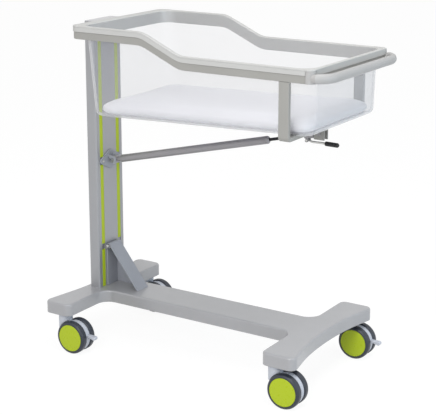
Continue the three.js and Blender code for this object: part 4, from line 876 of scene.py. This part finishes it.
class BASSINET_OT_brackets(bpy.types.Operator):
    """Makes the brace, the hinge, the spring's bracket and their pins and screws"""

    bl_idname = "bassinet.brackets"
    bl_label = "Brackets and pins"

    def execute(self, context):
        for node, body, slot, edge in (
            ("brace", "base", "bracket", FOLDED_EDGE),
            ("hinge_bracket", "base", "bracket", CUT_EDGE),
            ("spring_bracket", "base", "bracket", FOLDED_EDGE),
            ("hinge_knuckle", "cradle", "frame", CUT_EDGE),
            ("rod_clevis", "cradle", "frame", CUT_EDGE),
        ):
            copied(f"{node}_plate", node, body, slot, edge)
        pins = ("brace_pin", "hinge_pin", "spring_pivot_pin", "bracket_screw_left", "bracket_screw_right")
        for node in pins:
            copied(f"{node}_turned", node, "base", "steel", TURNED_EDGE)
        return {"FINISHED"}


class BASSINET_OT_cradle(bpy.types.Operator):
    """Makes the flat bars, the corner posts and the hoop of the cradle"""

    bl_idname = "bassinet.cradle"
    bl_label = "Cradle"

    def execute(self, context):
        sizes = context.scene.bassinet.cradle
        low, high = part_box("frame_sides")
        end_low, end_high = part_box("frame_end")
        bar = sizes.bar_thickness
        back, front, half = low.x, high.x, high.y
        inner_back, inner_half = back + bar, half - bar
        outer = sizes.rim_radius - sizes.bar_setback
        inner = outer - bar
        corners = [
            (front, half, 0), (back, half, outer), (back, -half, outer), (front, -half, 0),
            (front, -inner_half, 0), (inner_back, -inner_half, inner), (inner_back, inner_half, inner),
            (front, inner_half, 0),
        ]
        bm = stepped(upright(corners, end_low.z, end_high.z, segments=12))
        piece("cradle_bar_sides", bm, "cradle", "frame", ["frame_sides"], edge=sizes.bar_round, segments=3)
        bm = upright(oblong(end_low.x, end_high.x, end_low.y, end_high.y), end_low.z, end_high.z)
        piece("cradle_bar_end", bm, "cradle", "frame", ["frame_end"], edge=sizes.bar_round, segments=3)

        grip_low, grip_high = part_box("push_handle")
        boss_depth = sizes.handle_depth - 2 * sizes.collar_step
        boss_height = grip_high.z - grip_low.z - 2 * sizes.collar_step
        for side in ("left", "right"):
            low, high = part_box(f"corner_post_{side}")
            inner, outer = sorted((low.y, high.y), key=abs)
            front = low.x + sizes.post_size
            plan = [
                (low.x, inner, sizes.post_edge / 2), (front, inner, sizes.post_edge),
                (front, outer, sizes.post_radius), (low.x, outer, sizes.post_edge),
            ]
            bm = upright(plan, low.z, high.z, segments=12)
            round_level(bm, high.z, sizes.post_round)
            middle = Vector((
                low.x + sizes.boss_start, math.copysign(handle_end(), outer), (grip_low.z + grip_high.z) / 2
            ))
            boss = swept(oval_face(middle, 0, boss_depth, boss_height), [ALONG * (high.x - middle.x)])
            bm = carved(bm, boss, "UNION")
            piece(f"rounded_post_{side}", bm, "cradle", "handle", [f"corner_post_{side}"])

        low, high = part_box("hoop")
        bend, steps = sizes.hoop_bend, 8
        section = oblong(low.x, high.x, low.y, low.y + sizes.hoop_thickness, sizes.hoop_edge, sizes.hoop_edge)
        drop, span = high.z - low.z - bend, high.y - low.y - 2 * bend
        bm = swept(rounded_face(section, high.z, segments=3), [
            -UP * drop,
            (Vector((0, low.y + bend, low.z + bend)), ALONG, math.pi / 2, steps),
            ACROSS * span,
            (Vector((0, high.y - bend, low.z + bend)), ALONG, math.pi / 2, steps),
            UP * drop,
        ])
        piece("cradle_hoop", bm, "cradle", "frame", ["hoop"], edge=0, sharp=40)
        return {"FINISHED"}


class BASSINET_OT_handle(bpy.types.Operator):
    """Makes the bowed push handle, cut square to the posts at its slanting ends"""

    bl_idname = "bassinet.handle"
    bl_label = "Push handle"

    def execute(self, context):
        sizes = context.scene.bassinet.cradle
        low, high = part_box("push_handle")
        bend, slant = sizes.handle_bend, handle_slant()
        middle = Vector((high.x - sizes.handle_depth / 2, 0, (low.z + high.z) / 2))
        reach = handle_end() - bend * math.sin(slant)
        left, right = (Vector((middle.x - bend, y, middle.z)) for y in (-reach, reach))
        overrun = math.radians(16)  # past the posts, where the ends are then cut
        sweep, steps = slant + overrun, 20
        start = left + bend * Vector((math.cos(sweep), -math.sin(sweep), 0))
        bm = swept(oval_face(start, math.pi / 2 - sweep, sizes.handle_depth, high.z - low.z), [
            (left, UP, sweep, steps), right - left, (right, UP, sweep, steps)
        ])
        slice_at(bm, (low.x, 0, 0), ALONG, clear=True)
        bmesh.ops.holes_fill(bm, edges=[edge for edge in bm.edges if edge.is_boundary])
        piece("push_handle_grip", bm, "cradle", "handle", ["push_handle"], edge=SOFT_EDGE)
        return {"FINISHED"}


class BASSINET_OT_rim(bpy.types.Operator):
    """Makes the moulding round the tub's edge, which runs over the posts"""

    bl_idname = "bassinet.rim"
    bl_label = "Rim"

    def execute(self, context):
        sizes, tub = context.scene.bassinet.cradle, context.scene.bassinet.tub
        low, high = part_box("rim_sides")
        end_low, end_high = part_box("rim_end")
        post_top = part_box("corner_post_right")[1].z + GAP
        front, half, radius = end_high.x, high.y, tub.corner_radius + GAP
        inner_back, inner_front = low.x + tub.back_margin - GAP, front - tub.front_margin + GAP
        inner_half = half - tub.side_margin + GAP
        bottom, top = end_low.z, end_high.z
        lip_bottom = bottom - sizes.lip_drop

        def loop(wider):
            """Plan round the tub, wider than the moulding's hole."""
            y, bend = inner_half + wider, radius + wider
            return oblong(inner_back - wider, inner_front + wider, -y, y, bend, bend)

        outside = oblong(low.x, front, -half, half, sizes.rim_radius, sizes.nose_radius)
        bm = upright(outside, bottom, top, segments=12)
        level = bottom + sizes.groove_height
        for z in (level - sizes.groove_size, level, level + sizes.groove_size):
            slice_at(bm, (0, 0, z), UP)
        bm.normal_update()
        for vert in bm.verts:
            if abs(vert.co.z - level) < NEAR:
                vert.co -= vert.normal * sizes.groove_size
        lip = upright(loop(sizes.lip_thickness), lip_bottom, (bottom + top) / 2, segments=12)
        hole = upright(loop(0), lip_bottom - GAP, top + GAP, segments=12)
        bm = carved(carved(bm, lip, "UNION"), hole, "DIFFERENCE")
        round_level(bm, top, sizes.rim_round, segments=6)
        room = half - sizes.post_size - GAP
        for y in (-room, room):
            corner = oblong(end_low.x - GAP, front + GAP, y, y * 2)
            bm = carved(bm, upright(corner, bottom - GAP, post_top), "DIFFERENCE")
        piece("rim_moulding", stepped(bm), "tub", "rim", ["rim_sides", "rim_end"])
        return {"FINISHED"}


class BASSINET_OT_tub(bpy.types.Operator):
    """Makes the clear tapered tub"""

    bl_idname = "bassinet.tub"
    bl_label = "Tub"

    def execute(self, context):
        sizes = context.scene.bassinet.tub
        low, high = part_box("rim_sides")
        rim_front, rim_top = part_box("rim_end")[1].x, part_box("rim_end")[1].z
        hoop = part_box("hoop")[0]
        top, level = rim_top - sizes.top_drop, hoop.z + context.scene.bassinet.cradle.hoop_thickness + GAP
        back, front = low.x + sizes.back_margin, rim_front - sizes.front_margin
        half = high.y - sizes.side_margin
        floor_back, floor_front = back + sizes.back_taper, front - sizes.front_taper
        floor_half, radius = half - sizes.side_taper, sizes.corner_radius
        depth = top - level
        plan = oblong(floor_back, floor_front, -floor_half, floor_half, radius, radius)
        bm = upright(plan, 0, depth, segments=12)
        stretch = (front - back) / (floor_front - floor_back)
        for vert in bm.verts:
            if vert.co.z > depth / 2:
                vert.co.x = back + (vert.co.x - floor_back) * stretch
                vert.co.y *= half / floor_half
        open_level(bm, depth)
        round_level(bm, 0, sizes.floor_radius, segments=6)
        slice_at_knees(bm)
        fall = math.tan(sizes.floor_slope)
        for vert in bm.verts:
            lowest = level + (vert.co.x - hoop.x) * fall
            highest = top + rim_rise(vert.co.x)
            if vert.co.z <= sizes.floor_radius + NEAR:
                vert.co.z += lowest
            else:
                vert.co.z = lowest + (highest - lowest) * vert.co.z / depth
        piece("clear_tub", bm, "tub", "tub", ["tub_shell"], edge=0, sharp=60, wall=sizes.wall)
        return {"FINISHED"}


class BASSINET_OT_mattress(bpy.types.Operator):
    """Makes the mattress as a filled pad with a cloth simulation"""

    bl_idname = "bassinet.mattress"
    bl_label = "Mattress"

    def execute(self, context):
        scene, sizes = context.scene, context.scene.bassinet.tub
        bm = merged_copy("mattress")
        bmesh.ops.triangulate(bm, faces=bm.faces)
        mesh = bpy.data.meshes.new("mattress_pad")
        bm.to_mesh(mesh)
        bm.free()
        pad = bpy.data.objects.new("mattress_pad", mesh)
        scene.collection.objects.link(pad)

        def settle(modifier, **settings):
            """Applies one modifier to the pad's mesh."""
            for name, value in settings.items():
                setattr(modifier, name, value)
            made = bpy.data.meshes.new_from_object(pad.evaluated_get(context.evaluated_depsgraph_get()))
            pad.modifiers.clear()
            pad.data = made

        settle(pad.modifiers.new("skin", "REMESH"), mode="VOXEL", voxel_size=sizes.pad_voxel)
        settle(pad.modifiers.new("even", "SMOOTH"), factor=0.5, iterations=6)
        whole = [vert.co.copy() for vert in pad.data.vertices]
        bm = bmesh.new()
        bm.from_mesh(pad.data)
        bm.normal_update()
        for vert in bm.verts:
            vert.co -= vert.normal * sizes.pad_shrink
        bm.to_mesh(pad.data)
        bm.free()
        cloth = pad.modifiers.new("fill", "CLOTH")
        cloth.settings.use_pressure = True
        cloth.settings.uniform_pressure_force = 4.0
        cloth.settings.effector_weights.gravity = 0.0
        cloth.settings.quality = 5
        cloth.collision_settings.use_collision = False
        last_frame = 20
        for step in range(1, last_frame + 1):
            scene.frame_set(step)
        settle(cloth)
        scene.frame_set(1)
        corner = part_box("mattress")[0]
        fall = math.tan(sizes.floor_slope)
        for vert, home in zip(pad.data.vertices, whole):
            move = vert.co - home
            if move.length > sizes.pad_travel:
                move.length = sizes.pad_travel
            vert.co = home + move
            vert.co.z = max(vert.co.z, corner.z + (vert.co.x - corner.x) * fall)
        pad.data.shade_smooth()
        pad.data.materials.clear()
        pad.data.materials.append(finish("mattress"))
        fine = pad.modifiers.new("fine", "SUBSURF")
        fine.levels = fine.render_levels = 1
        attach(pad, "mattress")
        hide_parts("mattress")
        return {"FINISHED"}


class BASSINET_OT_spring(bpy.types.Operator):
    """Makes the gas spring with its gland, rod and release head"""

    bl_idname = "bassinet.spring"
    bl_label = "Gas spring"

    def execute(self, context):
        sizes = context.scene.bassinet.spring
        pivot = Vector(JOINTS["spring_swing"]["pos_m"])
        along = Vector(JOINTS["spring_stroke"]["axis"]).normalized()
        radius, start, end = sizes.cylinder_diameter / 2, sizes.cylinder_start, sizes.cylinder_end
        inside, bottom = radius - sizes.cylinder_wall, start + sizes.cylinder_bottom
        tube = turned(
            [(0, start), (radius, start), (radius, end), (inside, end), (inside, bottom), (0, bottom)],
            pivot, along
        )
        round_ring(tube, pivot, along, radius, start, sizes.cylinder_round)
        eye, half, bore = sizes.eye_diameter / 2, sizes.eye_width / 2, sizes.eye_bore / 2
        ring = turned([(bore, -half), (eye, -half), (eye, half), (bore, half), (bore, -half)], pivot, ACROSS)
        neck_radius = sizes.neck_diameter / 2
        first, last = eye - sizes.neck_sink, start + sizes.neck_sink / 2
        neck = turned([(0, first), (neck_radius, first), (neck_radius, last), (0, last)], pivot, along)
        bm = carved(carved(tube, neck, "UNION"), ring, "UNION")
        piece("spring_tube", bm, "spring_cylinder", "spring", ["spring_cylinder"], edge=TURNED_EDGE)

        rod, gap = sizes.rod_diameter / 2, sizes.rod_gap
        face = end + GAP
        shoulder, tip = face + sizes.gland_shoulder, face + sizes.gland_length
        bore = rod + gap
        gland = turned(
            [(bore, face), (radius, face), (radius, shoulder), (bore + gap, tip), (bore, tip), (bore, face)],
            pivot, along
        )
        round_ring(gland, pivot, along, radius, shoulder, sizes.gland_shoulder / 2)
        piece("spring_gland_collar", gland, "spring_cylinder", "spring", ["spring_gland"], edge=FINE_EDGE)

        first, last = end - sizes.rod_inside, sizes.rod_end
        bm = turned([(0, first), (rod, first), (rod, last), (0, last)], pivot, along)
        piece("spring_sliding_rod", bm, "spring_rod", "rod", ["spring_rod"], edge=GROUND_EDGE)
        copied("release_head_body", "release_head", "spring_rod", "spring", TURNED_EDGE)
        return {"FINISHED"}


class BASSINET_OT_lever(bpy.types.Operator):
    """Makes the bent release lever and its grip"""

    bl_idname = "bassinet.lever"
    bl_label = "Release lever"

    def execute(self, context):
        copied("release_lever_wire", "release_lever", "release_lever", "lever", 0, sharp=60)
        copied("lever_grip_sleeve", "lever_grip", "release_lever", "grip", CUT_EDGE, segments=2)
        return {"FINISHED"}


class BASSINET_OT_casters(bpy.types.Operator):
    """Makes the four twin-wheel casters, two of them with a brake tab"""

    bl_idname = "bassinet.casters"
    bl_label = "Casters"

    def execute(self, context):
        for end in ("back", "front"):
            for side in ("left", "right"):
                caster = f"caster_{end}_{side}"
                axle = Vector(JOINTS[f"{caster}_wheel_left_roll"]["pos_m"])
                self.make_hood(context, caster, axle)
                self.make_wheels(context, caster, axle)
                brake = f"{caster}_brake"
                if brake in frame["nodes"]:
                    copied(f"{brake}_tab", brake, brake, "hood", SOFT_EDGE)
        return {"FINISHED"}

    def make_hood(self, context, caster, axle):
        """The shield between the wheels with the neck round the swivel, which leaves room for them."""
        sizes = context.scene.bassinet.caster
        hood, half, line = sizes.hood_diameter / 2, sizes.hood_width / 2, sizes.hood_line
        shield = turned(
            [(0, -half), (hood, -half), (hood, -line), (hood - line, 0), (hood, line), (hood, half),
             (0, half)], axle, ACROSS
        )
        for edge in (-half, half):
            round_ring(shield, axle, ACROSS, hood, edge, sizes.hood_round, segments=3)
        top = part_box("base_cover")[0].z - GAP
        bottom = top - sizes.neck_depth
        swivel = axle - Vector((sizes.trail, 0, axle.z))
        neck_radius, room = sizes.neck_diameter / 2, sizes.wheel_diameter / 2 + sizes.wheel_room
        neck = turned([(0, bottom), (neck_radius, bottom), (neck_radius, top), (0, top)], swivel, UP)
        for sign in (-1, 1):
            near, far = sign * half, sign * sizes.neck_diameter
            wheel = turned([(0, near), (room, near), (room, far), (0, far)], axle, ACROSS, steps=96)
            neck = carved(neck, wheel, "DIFFERENCE")
        piece(f"{caster}_shield", carved(shield, neck, "UNION"), caster, "hood", [f"{caster}_hood"])

    def make_wheels(self, context, caster, axle):
        """The two tyres with a coloured disc each."""
        sizes = context.scene.bassinet.caster
        tread, width, bore = sizes.wheel_diameter / 2, sizes.wheel_width, sizes.wheel_bore / 2
        disc, seat = sizes.disc_diameter / 2, width - sizes.disc_thickness
        recess, crown = disc + GAP, width + sizes.disc_crown
        for side, sign in (("left", -1), ("right", 1)):
            wheel, out = f"{caster}_wheel_{side}", ACROSS * sign
            inner = axle + out * (sizes.hood_width / 2 + sizes.wheel_gap)
            tyre = turned(
                [(bore, 0), (tread, 0), (tread, width), (recess, width), (recess, seat), (bore, seat),
                 (bore, 0)], inner, out, steps=72
            )
            round_ring(tyre, inner, out, tread, width, sizes.tread_round, segments=7)
            round_ring(tyre, inner, out, tread, 0, sizes.tread_shoulder)
            piece(f"{caster}_tread_{side}", tyre, wheel, "tyre", [f"{caster}_tyre_{side}"])
            cap = turned(
                [(0, seat + GAP), (disc, seat + GAP), (disc, width), (0, crown)], inner, out, steps=72
            )
            round_ring(cap, inner, out, disc, width, sizes.disc_round, segments=4)
            piece(f"{caster}_disc_{side}", cap, wheel, "hub", [f"{caster}_hub_{side}"], edge=0)


class BASSINET_PT_pieces(bpy.types.Panel):
    """Lists the bassinet's pieces and settings in the sidebar"""

    bl_idname = "BASSINET_PT_pieces"
    bl_label = "Hospital Bassinet"
    bl_space_type = "VIEW_3D"
    bl_region_type = "UI"
    bl_category = "Bassinet"

    def draw(self, context):
        for operator in OPERATORS:
            self.layout.operator(operator.bl_idname)
        settings = context.scene.bassinet
        for name in BassinetSettings.__annotations__:
            group = getattr(settings, name)
            box = self.layout.box()
            box.label(text=settings.bl_rna.properties[name].name)
            for field in type(group).__annotations__:
                box.prop(group, field)


OPERATORS = (
    BASSINET_OT_stage, BASSINET_OT_base, BASSINET_OT_column, BASSINET_OT_brackets, BASSINET_OT_cradle,
    BASSINET_OT_handle, BASSINET_OT_rim, BASSINET_OT_tub, BASSINET_OT_mattress, BASSINET_OT_spring,
    BASSINET_OT_lever, BASSINET_OT_casters,
)
CLASSES = (
    BaseSizes, ColumnSizes, CradleSizes, TubSizes, SpringSizes, CasterSizes, FinishColours, StudioSettings,
    BassinetSettings, *OPERATORS, BASSINET_PT_pieces,
)


def register():
    """Adds the classes and the settings to Blender."""
    for cls in CLASSES:
        bpy.utils.register_class(cls)
    bpy.types.Scene.bassinet = bpy.props.PointerProperty(type=BassinetSettings)


def unregister():
    """Takes them out again."""
    del bpy.types.Scene.bassinet
    for cls in reversed(CLASSES):
        bpy.utils.unregister_class(cls)


def main():
    """Makes every piece."""
    register()
    for operator in OPERATORS:
        group, name = operator.bl_idname.split(".")
        getattr(getattr(bpy.ops, group), name)()


if __name__ == "__main__":
    main()
